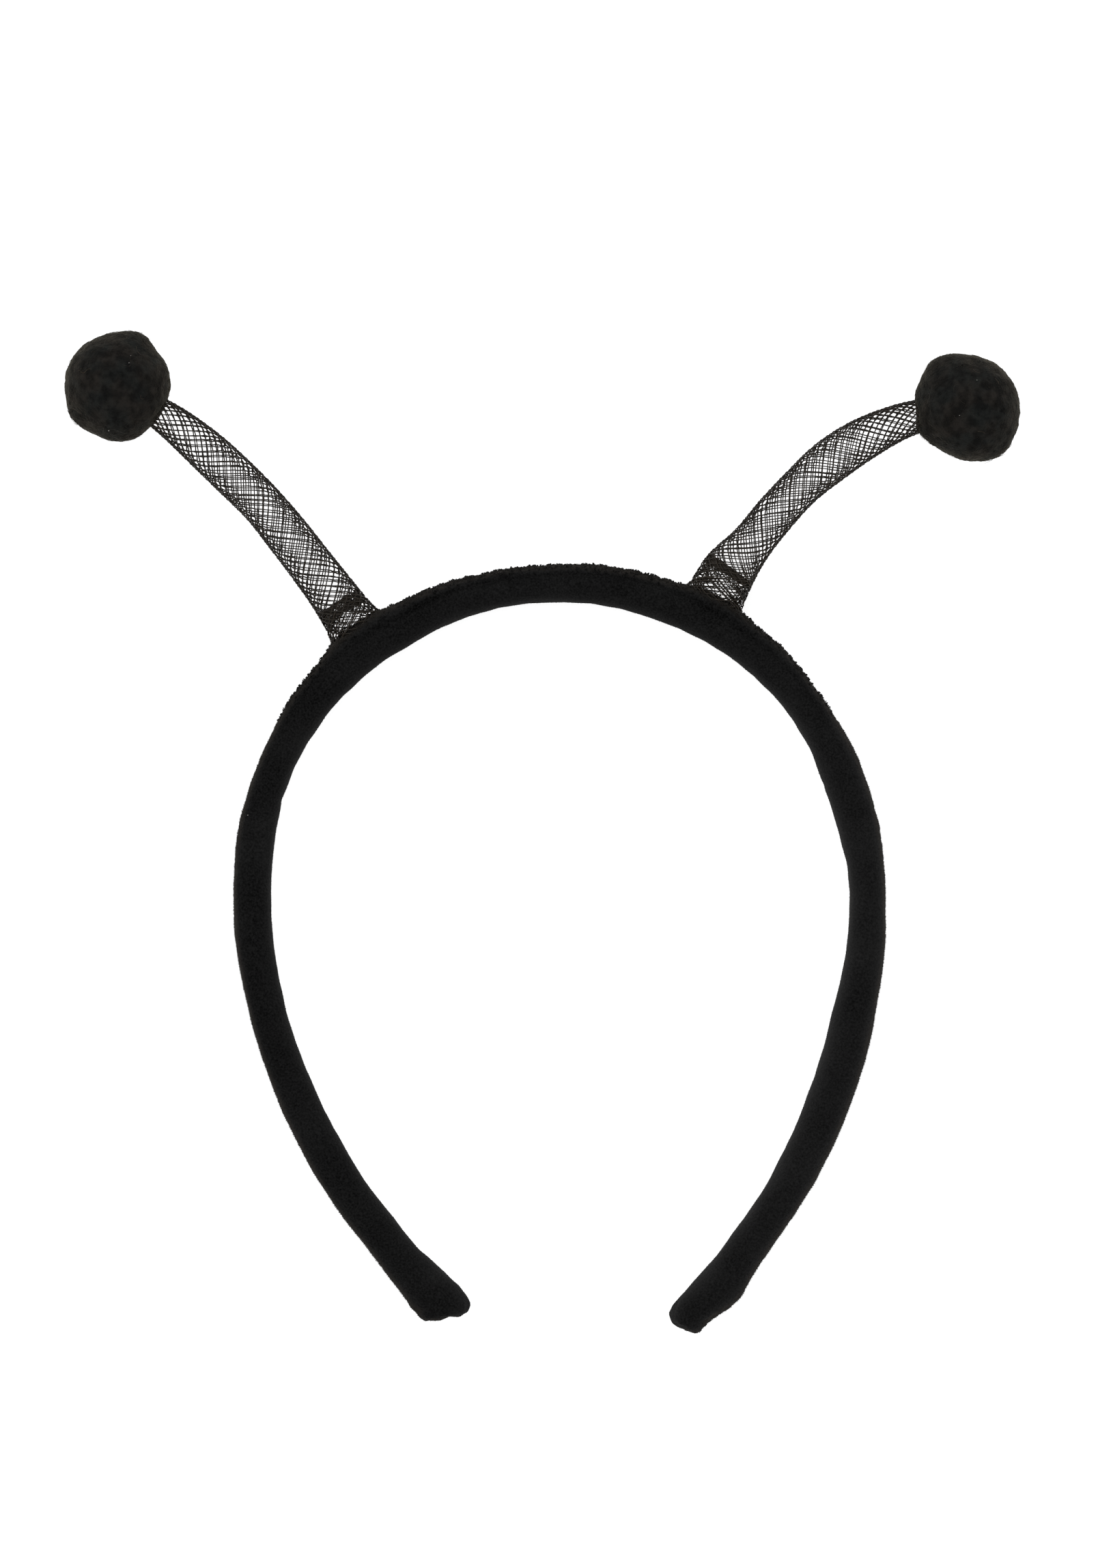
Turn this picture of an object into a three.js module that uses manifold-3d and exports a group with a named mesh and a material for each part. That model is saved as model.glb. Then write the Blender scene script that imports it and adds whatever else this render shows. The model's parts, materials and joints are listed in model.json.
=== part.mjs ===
// Antenna headband: a padded velvet band lying on its side, with two curved tubes of braided net that
// spring from its shoulders and end in pompoms. Millimetres, +Z up, with the floor it lies on at z = 0.
// Seen from above, +X is to the right and +Y runs from the band's tips to its crown.

import * as THREE from 'three';
import { mergeVertices } from 'three/addons/utils/BufferGeometryUtils.js';
import Module from 'manifold-3d';

const wasm = await Module();
wasm.setup();

// Driving dimensions
const SEAT_GAP = 0.3; // clearance between two pieces that sit on each other
const CROWN_WIDTH = 12; // front-to-back width of the band at the crown, its height as it lies
const TIP_WIDTH = 10.4; // the same width at the tips
const STATIONS_PER_ROW = 2; // sections lofted for each row of the band's table
const NET_WALL = 1.2; // thickness of the net
const NET_AROUND = 5; // crossings around a tube
const NET_ROWS = 12; // rows of open cells along a tube
const CROSS_HALF_WIDTH = 0.75; // half the size of a strand crossing, around the tube
const CROSS_HALF_LENGTH = 1.0; // the same, along the tube
const NET_DEPTH_SHARE = 0.94; // a tube's height over its width, as it lies a little flattened
const NET_ROOT = 2.5; // length of a tube's axis inside the band, trimmed to the band's surface
const NET_CUFF = 5; // closed stretch of net that the pompom is sewn round
const HEM_BEAD = 0.55; // how far the rolled hem stands out of the net
const HEM_BEAD_LENGTH = 1.3; // length of the rolled hem along the tube
const POMPOM_HEAD = 9.7; // radius of the packed yarn inside the locks
const POMPOM_FLAT = 10.9; // distance from the centre to the side it rests on
const LOCK_COUNT = 58; // locks of yarn on a pompom
const LOCK_RADIUS = 2.5; // radius of a lock at its foot
const LOCK_SIDES = 4; // flat sides of a lock
const LOCK_FOOT = 7.4; // distance of a lock's foot from the pompom's centre
const LOCK_TIP_SHORT = 11.2; // distance of the shortest lock's tip from the centre
const LOCK_TIP_LONG = 12.3; // the same for the longest lock
const LOCK_LEAN = 0.14; // how far a lock leans, as a share of its length
const LOCK_STRAY = 0.3; // how far a lock strays from its even place round the pompom, in radians
const SOCKET_SIDES = 16; // flat sides of the socket in a pompom

// The band's centreline from the right tip over the crown to the left tip, with the thickness there.
const BAND_ROWS = [
  { x: 31.3, y: -104.8, thick: 7.7 },
  { x: 32.9, y: -102.1, thick: 8.0 },
  { x: 39.0, y: -96.5, thick: 9.7 },
  { x: 42.9, y: -90.5, thick: 8.4 },
  { x: 50.9, y: -79.1, thick: 8.4 },
  { x: 57.5, y: -67.0, thick: 9.1 },
  { x: 62.7, y: -54.1, thick: 9.2 },
  { x: 66.4, y: -40.7, thick: 9.1 },
  { x: 69.1, y: -27.0, thick: 8.2 },
  { x: 69.7, y: -13.0, thick: 7.6 },
  { x: 67.9, y: 0.7, thick: 8.8 },
  { x: 63.6, y: 13.9, thick: 9.0 },
  { x: 57.2, y: 26.0, thick: 7.9 },
  { x: 48.3, y: 36.5, thick: 8.6 },
  { x: 37.2, y: 44.5, thick: 8.7 },
  { x: 24.7, y: 50.2, thick: 8.8 },
  { x: 11.0, y: 53.0, thick: 8.3 },
  { x: -3.0, y: 52.9, thick: 7.9 },
  { x: -16.8, y: 50.3, thick: 8.2 },
  { x: -29.5, y: 44.7, thick: 9.0 },
  { x: -40.9, y: 37.0, thick: 8.9 },
  { x: -50.1, y: 27.0, thick: 8.4 },
  { x: -56.8, y: 15.0, thick: 7.4 },
  { x: -60.9, y: 1.9, thick: 8.0 },
  { x: -62.3, y: -11.9, thick: 8.1 },
  { x: -61.5, y: -25.7, thick: 7.8 },
  { x: -58.8, y: -39.5, thick: 7.7 },
  { x: -54.3, y: -52.8, thick: 7.9 },
  { x: -48.5, y: -65.5, thick: 8.2 },
  { x: -41.4, y: -77.4, thick: 8.3 },
  { x: -33.0, y: -88.3, thick: 8.4 },
  { x: -26.7, y: -96.1, thick: 8.9 },
  { x: -22.3, y: -100.3, thick: 10.3 },
  { x: -21.3, y: -102.5, thick: 10.9 },
];

// Outline of the band's section. out is a share of half its thickness, up a share of half its width.
// The lowest pair makes the flat side that it lies on, and the deep point is the sewn crease near the
// outer edge.
const BAND_PROFILE = [
  { out: -0.45, up: -1 },
  { out: -0.8, up: -0.86 },
  { out: -0.97, up: -0.5 },
  { out: -1, up: 0 },
  { out: -0.97, up: 0.45 },
  { out: -0.82, up: 0.8 },
  { out: -0.5, up: 0.97 },
  { out: 0, up: 1 },
  { out: 0.44, up: 0.98 },
  { out: 0.56, up: 0.84 },
  { out: 0.66, up: 0.95 },
  { out: 0.82, up: 0.84 },
  { out: 0.97, up: 0.5 },
  { out: 1, up: 0 },
  { out: 0.97, up: -0.5 },
  { out: 0.8, up: -0.86 },
  { out: 0.45, up: -1 },
];

// Outline of a lock of yarn: its radius as a share of the foot's, and the height as a share of the length.
const LOCK_PROFILE = [
  { wide: 0, high: 0 },
  { wide: 1, high: 0 },
  { wide: 0.8, high: 0.7 },
  { wide: 0, high: 1 },
];

// Stops along a tube, as shares of its axis, that the socket in its pompom is lofted through.
const SOCKET_SHARES = [0.8, 0.88, 0.94, 1];

// The rolled edge of a hem: how far below the hem's top, as a share of the roll's length, and how far it
// stands out.
const HEM_PROFILE = [
  { below: 0.3, out: 1 },
  { below: 0.7, out: 1 },
  { below: 1, out: 0 },
];

// The soft closed ends of the band's cover: how far past the last row, and how much of the section is
// left there.
const TIP_ROUNDING = [
  { past: 0.8, share: 0.95 },
  { past: 1.5, share: 0.8 },
  { past: 1.9, share: 0.55 },
];

// Each antenna: the height of its hem, the pompom's centre, and rows along the tube's axis from inside the
// band to inside the pompom, with the tube's radius there.
const ANTENNAE = [
  {
    side: 'left',
    hem: 5.2,
    pompom: { x: -91.2, y: 95.6, seed: 3 },
    rows: [
      { x: -39.2, y: 42.5, radius: 6.0 },
      { x: -44.5, y: 50.3, radius: 5.2 },
      { x: -49.6, y: 57.1, radius: 4.9 },
      { x: -54.7, y: 63.7, radius: 4.8 },
      { x: -60.0, y: 70.1, radius: 4.6 },
      { x: -65.8, y: 75.9, radius: 4.65 },
      { x: -71.8, y: 81.5, radius: 4.5 },
      { x: -78.1, y: 86.8, radius: 3.9 },
      { x: -83.9, y: 90.9, radius: 3.2 },
    ],
  },
  {
    side: 'right',
    hem: 6.4,
    pompom: { x: 91.1, y: 91.0, seed: 8 },
    rows: [
      { x: 36.2, y: 48.6, radius: 6.1 },
      { x: 39.8, y: 55.5, radius: 5.85 },
      { x: 44.8, y: 61.8, radius: 4.6 },
      { x: 49.9, y: 68.1, radius: 4.45 },
      { x: 55.4, y: 74.0, radius: 4.4 },
      { x: 61.5, y: 79.3, radius: 4.8 },
      { x: 68.4, y: 83.9, radius: 4.6 },
      { x: 76.1, y: 87.6, radius: 3.9 },
      { x: 83.1, y: 89.7, radius: 3.3 },
    ],
  },
];

const VELVET = new THREE.MeshStandardMaterial({ color: 0x161418, roughness: 0.95, metalness: 0 });
const NET = new THREE.MeshStandardMaterial({ color: 0x0e0e10, roughness: 0.6, metalness: 0 });
const YARN = new THREE.MeshStandardMaterial({ color: 0x191815, roughness: 1, metalness: 0 });

// Shared helpers

function indexedGeometry(points, triangles) {
  const geometry = new THREE.BufferGeometry();
  const numbers = points.flatMap((p) => p.toArray());
  geometry.setAttribute('position', new THREE.Float32BufferAttribute(numbers, 3));
  geometry.setIndex(triangles);
  return geometry;
}

// A closed skin through rings of points, each ring with as many points as the next, and a flat cap at both
// ends.
function loft(rings) {
  const around = rings[0].length;
  const points = rings.flat();
  const triangles = [];
  for (let r = 0; r + 1 < rings.length; r += 1) {
    for (let k = 0; k < around; k += 1) {
      const a = r * around + k;
      const b = r * around + ((k + 1) % around);
      triangles.push(a, b, b + around, a, b + around, a + around);
    }
  }
  for (const [ring, first] of [[rings[0], 0], [rings.at(-1), points.length - around]]) {
    const middle = new THREE.Vector3();
    ring.forEach((p) => middle.addScaledVector(p, 1 / around));
    const hub = points.push(middle) - 1;
    for (let k = 0; k < around; k += 1) {
      const next = first + ((k + 1) % around);
      triangles.push(...(first === 0 ? [hub, next, first + k] : [hub, first + k, next]));
    }
  }
  return indexedGeometry(points, triangles);
}

function toSolid(geometry) {
  const bare = geometry.clone();
  bare.deleteAttribute('normal');
  bare.deleteAttribute('uv');
  const merged = mergeVertices(bare, 1e-4);
  return new wasm.Manifold(
    new wasm.Mesh({
      numProp: 3,
      vertProperties: new Float32Array(merged.attributes.position.array),
      triVerts: new Uint32Array(merged.index.array),
    }),
  );
}

function toGeometry(solid) {
  const cut = solid.getMesh();
  const geometry = new THREE.BufferGeometry();
  geometry.setAttribute('position', new THREE.BufferAttribute(new Float32Array(cut.vertProperties), 3));
  geometry.setIndex(new THREE.BufferAttribute(new Uint32Array(cut.triVerts), 1));
  return geometry;
}

function namedMesh(name, geometry, material) {
  geometry.computeVertexNormals();
  const mesh = new THREE.Mesh(geometry, material);
  mesh.name = name;
  return mesh;
}

// A repeatable stream of numbers from 0 to 1.
function randomStream(seed) {
  let state = seed * 7919;
  return () => {
    state = (state * 16807 + 11) % 2147483647;
    return state / 2147483647;
  };
}

// Velvet band

const bandPath = new THREE.CatmullRomCurve3(BAND_ROWS.map(({ x, y }) => new THREE.Vector3(x, y, 0)));
const bandThickness = new THREE.CatmullRomCurve3(
  BAND_ROWS.map(({ thick }) => new THREE.Vector3(thick, 0, 0)),
);

function bandWidth(share) {
  const fromCrown = Math.abs(2 * share - 1);
  return THREE.MathUtils.lerp(CROWN_WIDTH, TIP_WIDTH, fromCrown * fromCrown);
}

// One ring of the band's section, grown by extra all round, and shrunk towards its middle at a tip.
function bandRing(share, extra, past = 0, left = 1) {
  const along = bandPath.getTangent(share);
  const outward = new THREE.Vector3(along.y, -along.x, 0);
  const direction = share < 0.5 ? -1 : 1;
  const centre = bandPath.getPoint(share).addScaledVector(along, direction * past);
  const halfThick = bandThickness.getPoint(share).x / 2 + extra;
  const middle = bandWidth(share) / 2;
  return BAND_PROFILE.map(({ out, up }) => {
    const point = centre.clone().addScaledVector(outward, out * halfThick * left);
    // the side that it lies on stays flat right out to the tips
    const kept = up === -1 ? 1 : left;
    point.z = middle + up * (middle + extra) * kept;
    return point;
  });
}

function bandGeometry(extra) {
  const stations = (BAND_ROWS.length - 1) * STATIONS_PER_ROW;
  const rings = [];
  for (const { past, share } of TIP_ROUNDING.toReversed()) {
    rings.push(bandRing(0, extra, past + extra, share));
  }
  for (let k = 0; k <= stations; k += 1) {
    rings.push(bandRing(k / stations, extra));
  }
  for (const { past, share } of TIP_ROUNDING) {
    rings.push(bandRing(1, extra, past + extra, share));
  }
  return loft(rings);
}

// Antenna nets

// Gives points on a tube: share runs from inside the band to inside the pompom, turn once round it.
function tubeShape({ rows }, pompomHeight) {
  const rise = (share) => {
    const eased = THREE.MathUtils.smootherstep(share, 0, 1);
    return THREE.MathUtils.lerp(CROWN_WIDTH / 2, pompomHeight, eased);
  };
  const path = new THREE.CatmullRomCurve3(
    rows.map((row, k) => new THREE.Vector3(row.x, row.y, rise(k / (rows.length - 1)))),
  );
  const radius = new THREE.CatmullRomCurve3(rows.map((row) => new THREE.Vector3(row.radius, 0, 0)));
  const up = new THREE.Vector3(0, 0, 1);
  const at = (share, turn, lift) => {
    const along = path.getTangent(share);
    const sideways = up.clone().cross(along).normalize();
    const upward = along.clone().cross(sideways);
    const size = radius.getPoint(share).x + lift;
    const angle = turn * 2 * Math.PI;
    return path
      .getPoint(share)
      .addScaledVector(sideways, size * Math.cos(angle))
      .addScaledVector(upward, size * NET_DEPTH_SHARE * Math.sin(angle));
  };
  return { at, radiusAt: (share) => radius.getPoint(share).x, length: path.getLength(), path };
}

// A wall as thick as the net, from a skin of spots (share, turn, lift) and faces. Open edges get a wall
// between the outer and the inner skin.
function thickened(shape, spots, faces) {
  const outer = spots.map(({ share, turn, lift }) => shape.at(share, turn, lift));
  const inner = spots.map(({ share, turn }) => shape.at(share, turn, -NET_WALL));
  const count = spots.length;
  const edges = new Set();
  faces.forEach(([a, b, c]) => {
    [`${a} ${b}`, `${b} ${c}`, `${c} ${a}`].forEach((edge) => edges.add(edge));
  });
  const triangles = [];
  faces.forEach(([a, b, c]) => {
    triangles.push(a, b, c, count + a, count + c, count + b);
  });
  edges.forEach((edge) => {
    const [a, b] = edge.split(' ').map(Number);
    if (!edges.has(`${b} ${a}`)) {
      triangles.push(b, a, count + a, b, count + a, count + b);
    }
  });
  return indexedGeometry([...outer, ...inner], triangles);
}

// The net as a skin: crossings on staggered levels, a strand from each crossing to the two above it, a
// turned hem with its rolled edge below the first level and a closed cuff above the last.
function netGeometry(antenna, shape) {
  const spots = [];
  const faces = [];
  const spot = (share, turn, lift = 0) => spots.push({ share, turn, lift }) - 1;
  const quad = (a, b, c, d) => faces.push([a, b, c], [a, c, d]);
  const hemTop = (NET_ROOT + antenna.hem) / shape.length;
  const cuffStart = 1 - NET_CUFF / shape.length;
  const last = NET_ROWS + 1;
  const wrap = (k) => (k + NET_AROUND) % NET_AROUND;

  const levels = [];
  for (let level = 0; level <= last; level += 1) {
    const share = THREE.MathUtils.lerp(hemTop, cuffStart, level / last);
    const reach = CROSS_HALF_WIDTH / (2 * Math.PI * shape.radiusAt(share));
    const height = CROSS_HALF_LENGTH / shape.length;
    levels.push(
      Array.from({ length: NET_AROUND }, (_, k) => {
        const turn = (k + (level % 2) / 2) / NET_AROUND;
        return {
          turn,
          reach,
          west: spot(share, turn - reach),
          east: spot(share, turn + reach),
          south: level > 0 ? spot(share - height, turn) : null,
          north: level < last ? spot(share + height, turn) : null,
        };
      }),
    );
  }
  // the neighbours one level on: half a cell to the east and half a cell to the west
  const eastOf = (level, k) => wrap(k + (level % 2));
  const westOf = (level, k) => wrap(k - 1 + (level % 2));

  for (let level = 0; level <= last; level += 1) {
    levels[level].forEach((cross, k) => {
      const { west, east, south, north } = cross;
      if (south !== null && north !== null) {
        quad(west, south, east, north);
      } else if (north !== null) {
        faces.push([west, east, north]);
      } else {
        faces.push([west, south, east]);
      }
      if (level < last) {
        const right = levels[level + 1][eastOf(level, k)];
        const left = levels[level + 1][westOf(level, k)];
        quad(east, right.south, right.west, north);
        quad(north, left.east, left.south, west);
      }
    });
  }

  // one ring of spots round the tube that closes the half cells of the first or last level
  function closingRing(level, inward, facesUp) {
    const share = THREE.MathUtils.lerp(hemTop, cuffStart, level / last);
    return levels[level].flatMap((cross, k) => {
      const gap = 1 / NET_AROUND - 2 * cross.reach;
      const near = spot(share, cross.turn + cross.reach + gap / 3);
      const far = spot(share, cross.turn + cross.reach + (gap * 2) / 3);
      const beyond = levels[level][wrap(k + 1)].west;
      const apex = inward(level, k);
      const row = [cross.east, near, far, beyond];
      for (let step = 0; step + 1 < row.length; step += 1) {
        faces.push(facesUp ? [row[step], row[step + 1], apex] : [row[step + 1], row[step], apex]);
      }
      return [cross.west, cross.east, near, far];
    });
  }

  // carries a ring along the tube through a list of stops, each with its share of the tube and its lift
  function carried(ring, stops, towardsBand) {
    let from = ring;
    for (const { share, lift } of stops) {
      const to = from.map((k) => spot(share, spots[k].turn, lift));
      from.forEach((k, n) => {
        const m = (n + 1) % from.length;
        if (towardsBand) {
          quad(to[n], to[m], from[m], k);
        } else {
          quad(k, from[m], to[m], to[n]);
        }
      });
      from = to;
    }
  }

  const hemRing = closingRing(0, (level, k) => levels[1][eastOf(level, k)].south, true);
  const roll = HEM_PROFILE.map(({ below, out }) => ({
    share: hemTop - (below * HEM_BEAD_LENGTH) / shape.length,
    lift: out * HEM_BEAD,
  }));
  carried(hemRing, [...roll, { share: 0, lift: 0 }], true);
  // the last level is as staggered as its number, so the cell below its gap lies half a step on
  const cuffRing = closingRing(last, (level, k) => levels[level - 1][eastOf(level, k)].north, false);
  carried(cuffRing, [{ share: 1, lift: 0 }], false);
  return thickened(shape, spots, faces);
}

// Pompoms

// One lock of yarn, a tapered tuft with its foot inside the packed head and its tip standing out.
function lockGeometry(direction, random) {
  const tip = THREE.MathUtils.lerp(LOCK_TIP_SHORT, LOCK_TIP_LONG, random());
  const length = tip - LOCK_FOOT;
  const outline = LOCK_PROFILE.map(
    ({ wide, high }) => new THREE.Vector2(wide * LOCK_RADIUS, high * length),
  );
  const lock = new THREE.LatheGeometry(outline, LOCK_SIDES, random() * Math.PI);
  const lean = new THREE.Vector3(random() - 0.5, random() - 0.5, random() - 0.5);
  const aim = direction.clone().addScaledVector(lean, 2 * LOCK_LEAN).normalize();
  lock.applyQuaternion(new THREE.Quaternion().setFromUnitVectors(new THREE.Vector3(0, 1, 0), aim));
  lock.translate(direction.x * LOCK_FOOT, direction.y * LOCK_FOOT, direction.z * LOCK_FOOT);
  return lock;
}

// A pompom round the origin: the packed head, pressed flat where it rests, with locks spread evenly over
// the rest.
function pompomSolid(seed) {
  const random = randomStream(seed);
  const head = new THREE.IcosahedronGeometry(POMPOM_HEAD, 2);
  const locks = [];
  const goldenTurn = Math.PI * (3 - Math.sqrt(5));
  for (let k = 0; k < LOCK_COUNT; k += 1) {
    const height = 1 - (2 * (k + 0.5)) / LOCK_COUNT;
    const ring = Math.sqrt(1 - height * height);
    const turn = k * goldenTurn + random() * LOCK_STRAY;
    const direction = new THREE.Vector3(ring * Math.cos(turn), ring * Math.sin(turn), height);
    locks.push(lockGeometry(direction, random));
  }
  const fused = wasm.Manifold.union([head, ...locks].map(toSolid));
  const size = 4 * POMPOM_HEAD;
  const below = new THREE.BoxGeometry(size, size, size).translate(0, 0, -POMPOM_FLAT - size / 2);
  return fused.subtract(toSolid(below));
}

// The blind socket that a tube's end is sewn into, a clearance wider than the tube.
function socketSolid(shape) {
  const rings = SOCKET_SHARES.map((share) =>
    Array.from({ length: SOCKET_SIDES }, (_, k) => shape.at(share, k / SOCKET_SIDES, SEAT_GAP)),
  );
  const beyond = shape.path.getTangent(1).multiplyScalar(SEAT_GAP);
  rings.push(rings.at(-1).map((p) => p.clone().add(beyond)));
  return toSolid(loft(rings));
}

// Assembly

const headband = new THREE.Group();
headband.add(namedMesh('velvet_band', bandGeometry(0), VELVET));

const bandWithClearance = toSolid(bandGeometry(SEAT_GAP));
for (const antenna of ANTENNAE) {
  const shape = tubeShape(antenna, POMPOM_FLAT);
  const net = toSolid(netGeometry(antenna, shape)).subtract(bandWithClearance);
  headband.add(namedMesh(`${antenna.side}_antenna_net`, toGeometry(net), NET));

  const { x, y, seed } = antenna.pompom;
  const pompom = pompomSolid(seed).translate([x, y, POMPOM_FLAT]).subtract(socketSolid(shape));
  headband.add(namedMesh(`${antenna.side}_pompom`, toGeometry(pompom), YARN));
}

export default headband;
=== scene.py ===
# %% [markdown]
# # An antenna headband, lying on its side
#
# The object is a padded band covered in black velvet. Two tubes of braided black net spring from its
# shoulders, and each tube ends in a felted yarn pompom. The picture looks straight down on it as it
# lies on a white surface, so the floor here is the XY plane and the camera looks along -Z.
#
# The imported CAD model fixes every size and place. It is loaded first, as a frame that never moves, and
# the pieces made below stand for its nodes or dress them.

# %% The frame
import json
import math

import bmesh
import bpy
import numpy as np
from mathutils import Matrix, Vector, noise
from mathutils.kdtree import KDTree

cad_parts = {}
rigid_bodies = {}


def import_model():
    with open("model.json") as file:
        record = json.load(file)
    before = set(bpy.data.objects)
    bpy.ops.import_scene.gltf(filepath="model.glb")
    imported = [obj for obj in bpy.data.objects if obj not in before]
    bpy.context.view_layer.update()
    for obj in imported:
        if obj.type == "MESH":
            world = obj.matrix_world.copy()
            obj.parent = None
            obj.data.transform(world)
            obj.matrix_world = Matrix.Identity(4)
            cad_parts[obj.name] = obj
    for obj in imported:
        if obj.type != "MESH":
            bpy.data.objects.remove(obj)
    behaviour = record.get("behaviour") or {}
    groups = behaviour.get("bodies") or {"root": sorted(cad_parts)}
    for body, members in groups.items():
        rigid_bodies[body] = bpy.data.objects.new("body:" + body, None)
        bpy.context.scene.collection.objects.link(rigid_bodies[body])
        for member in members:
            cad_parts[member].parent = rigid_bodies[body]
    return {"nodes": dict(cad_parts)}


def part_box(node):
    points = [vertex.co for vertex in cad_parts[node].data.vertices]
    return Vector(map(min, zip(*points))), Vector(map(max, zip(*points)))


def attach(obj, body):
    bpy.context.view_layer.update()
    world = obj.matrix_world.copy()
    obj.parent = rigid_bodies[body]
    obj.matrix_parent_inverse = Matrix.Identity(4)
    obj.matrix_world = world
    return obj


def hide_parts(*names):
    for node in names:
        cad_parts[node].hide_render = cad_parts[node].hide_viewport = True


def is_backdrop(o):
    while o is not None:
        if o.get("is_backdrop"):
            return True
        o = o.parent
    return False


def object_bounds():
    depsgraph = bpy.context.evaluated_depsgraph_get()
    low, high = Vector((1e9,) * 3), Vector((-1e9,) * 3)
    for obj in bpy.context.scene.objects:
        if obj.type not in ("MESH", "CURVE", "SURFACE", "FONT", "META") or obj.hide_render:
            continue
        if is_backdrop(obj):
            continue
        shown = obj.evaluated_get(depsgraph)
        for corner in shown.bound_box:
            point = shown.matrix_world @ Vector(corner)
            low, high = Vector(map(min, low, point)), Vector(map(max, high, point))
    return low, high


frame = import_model()
cad_low, cad_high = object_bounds()
MM = 0.001
print("CAD nodes:", sorted(frame["nodes"]))

# %% [markdown]
# ## Camera
#
# A long lens far above the floor keeps the view almost free of perspective, as the picture is. The
# band's own width ties the two together: the band is so many pixels wide in the picture, so one pixel
# is a known length, and the lens follows from the length that the whole picture has to cover.

# %% Camera
PICTURE_WIDTH = 1608
PICTURE_HEIGHT = 2296
BAND_PIXELS = 956
ORIGIN_PIXEL = (794.5, 1218)
CAMERA_DISTANCE = 4.0


def linked(name, data):
    """A new object with this data, at the origin and in the scene."""
    made = bpy.data.objects.new(name, data)
    bpy.context.scene.collection.objects.link(made)
    return made


band_low, band_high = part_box("velvet_band")
band_middle = (band_low.z + band_high.z) / 2
pixel = (band_high.x - band_low.x) / BAND_PIXELS
camera_data = bpy.data.cameras.new("camera")
camera = linked("camera", camera_data)
camera.location = (
    (PICTURE_WIDTH / 2 - ORIGIN_PIXEL[0]) * pixel,
    (ORIGIN_PIXEL[1] - PICTURE_HEIGHT / 2) * pixel,
    band_middle + CAMERA_DISTANCE,
)
camera_data.lens = camera_data.sensor_width * CAMERA_DISTANCE / (PICTURE_HEIGHT * pixel)
bpy.context.scene.camera = camera
print(f"one pixel is {pixel / MM:.4f} mm, lens {camera_data.lens:.1f} mm")

# %% [markdown]
# ## Materials in plain Python
#
# A finish is a Principled shader and the nodes that feed it. Wiring nodes one by one is long-winded, so
# a small class wraps a node's output and lets it take part in ordinary sums: `1 - mask` adds the Math
# node by itself.

# %% Wires
class Wire:
    """A node's output that takes part in Python sums."""

    def __init__(self, finish, socket):
        self.finish = finish
        self.socket = socket

    def sum_node(self, operation, first, second):
        return self.finish.node("ShaderNodeMath", {"operation": operation}, {0: first, 1: second})

    def __add__(self, other):
        return self.sum_node("ADD", self, other)

    def __sub__(self, other):
        return self.sum_node("SUBTRACT", self, other)

    def __rsub__(self, other):
        return self.sum_node("SUBTRACT", other, self)

    def __mul__(self, other):
        return self.sum_node("MULTIPLY", self, other)

    __radd__ = __add__
    __rmul__ = __mul__


# %% [markdown]
# Any other node comes from one method, which sets the node's choices first and then fills or links its
# sockets. A number that is the same all over a surface is set straight on the shader. Only what changes
# from place to place is wired.

# %% Finishes
# A Mix node lists sockets for every kind of data, and these are the ones that mix colours.
MIX_SHARE, MIX_FIRST, MIX_SECOND, MIX_RESULT = 0, 6, 7, 2


class Finish:
    """One material: its shader, the shader's fixed numbers and the nodes that feed it."""

    def __init__(self, name, fixed):
        self.material = bpy.data.materials.new(name)
        self.material.use_nodes = True
        self.tree = self.material.node_tree
        self.shader = self.tree.nodes["Principled BSDF"]
        for socket, value in fixed.items():
            self.shader.inputs[socket].default_value = value
        self.places = self.node("ShaderNodeTexCoord", output="Object")

    def node(self, kind, settings=None, sockets=None, output=0):
        made = self.tree.nodes.new(kind)
        for name, value in (settings or {}).items():
            setattr(made, name, value)
        for name, value in (sockets or {}).items():
            if isinstance(value, Wire):
                self.tree.links.new(value.socket, made.inputs[name])
            else:
                made.inputs[name].default_value = value
        return Wire(self, made.outputs[output])

    def grain(self, size, detail=2.0):
        """Noise whose lumps are about this many metres across."""
        sockets = {"Vector": self.places, "Scale": 1 / size, "Detail": detail}
        return self.node("ShaderNodeTexNoise", sockets=sockets)

    def spread(self, wire, low, high):
        """A value from 0 where the wire is at low to 1 where it is at high."""
        sockets = {"Value": wire, "From Min": low, "From Max": high}
        return self.node("ShaderNodeMapRange", {"clamp": True}, sockets)

    def painted(self, name):
        """A number kept on the mesh, such as each hair's own tone."""
        return self.node("ShaderNodeAttribute", {"attribute_name": name}, output="Fac")

    def blend(self, share, first, second):
        sockets = {MIX_SHARE: share, MIX_FIRST: first, MIX_SECOND: second}
        return self.node("ShaderNodeMix", {"data_type": "RGBA"}, sockets, MIX_RESULT)

    def bumps(self, height, depth):
        return self.node("ShaderNodeBump", sockets={"Height": height, "Distance": depth, "Strength": 1.0})

    def feed(self, socket, wire):
        self.tree.links.new(wire.socket, self.shader.inputs[socket])

    def tell(self):
        print(f"{self.material.name}: {len(self.tree.nodes)} nodes")


def grey(level, warmth=0.0):
    """A dark colour of this brightness, a little redder as warmth grows."""
    return (level * (1 + warmth), level, level * (1 - warmth), 1.0)


# %% [markdown]
# ## Floor and light
#
# The picture has a white surface with hardly a shadow, which is what a light tent over a lit table
# gives: light from everywhere, and a little more from above. The floor is one large square that glows a
# little, as a lit table does.

# %% Floor
FLOOR_SIZE = 3.0
FLOOR_GLOW = 0.82
PAPER_PATCH = 0.3
PAPER_DARK = grey(0.36)
PAPER_PALE = grey(0.38)
WHITE = (1.0, 1.0, 1.0, 1.0)


def mesh_from(shape, name):
    """Turns a finished bmesh into a mesh, and frees it."""
    mesh = bpy.data.meshes.new(name)
    shape.to_mesh(mesh)
    shape.free()
    return mesh


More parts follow.
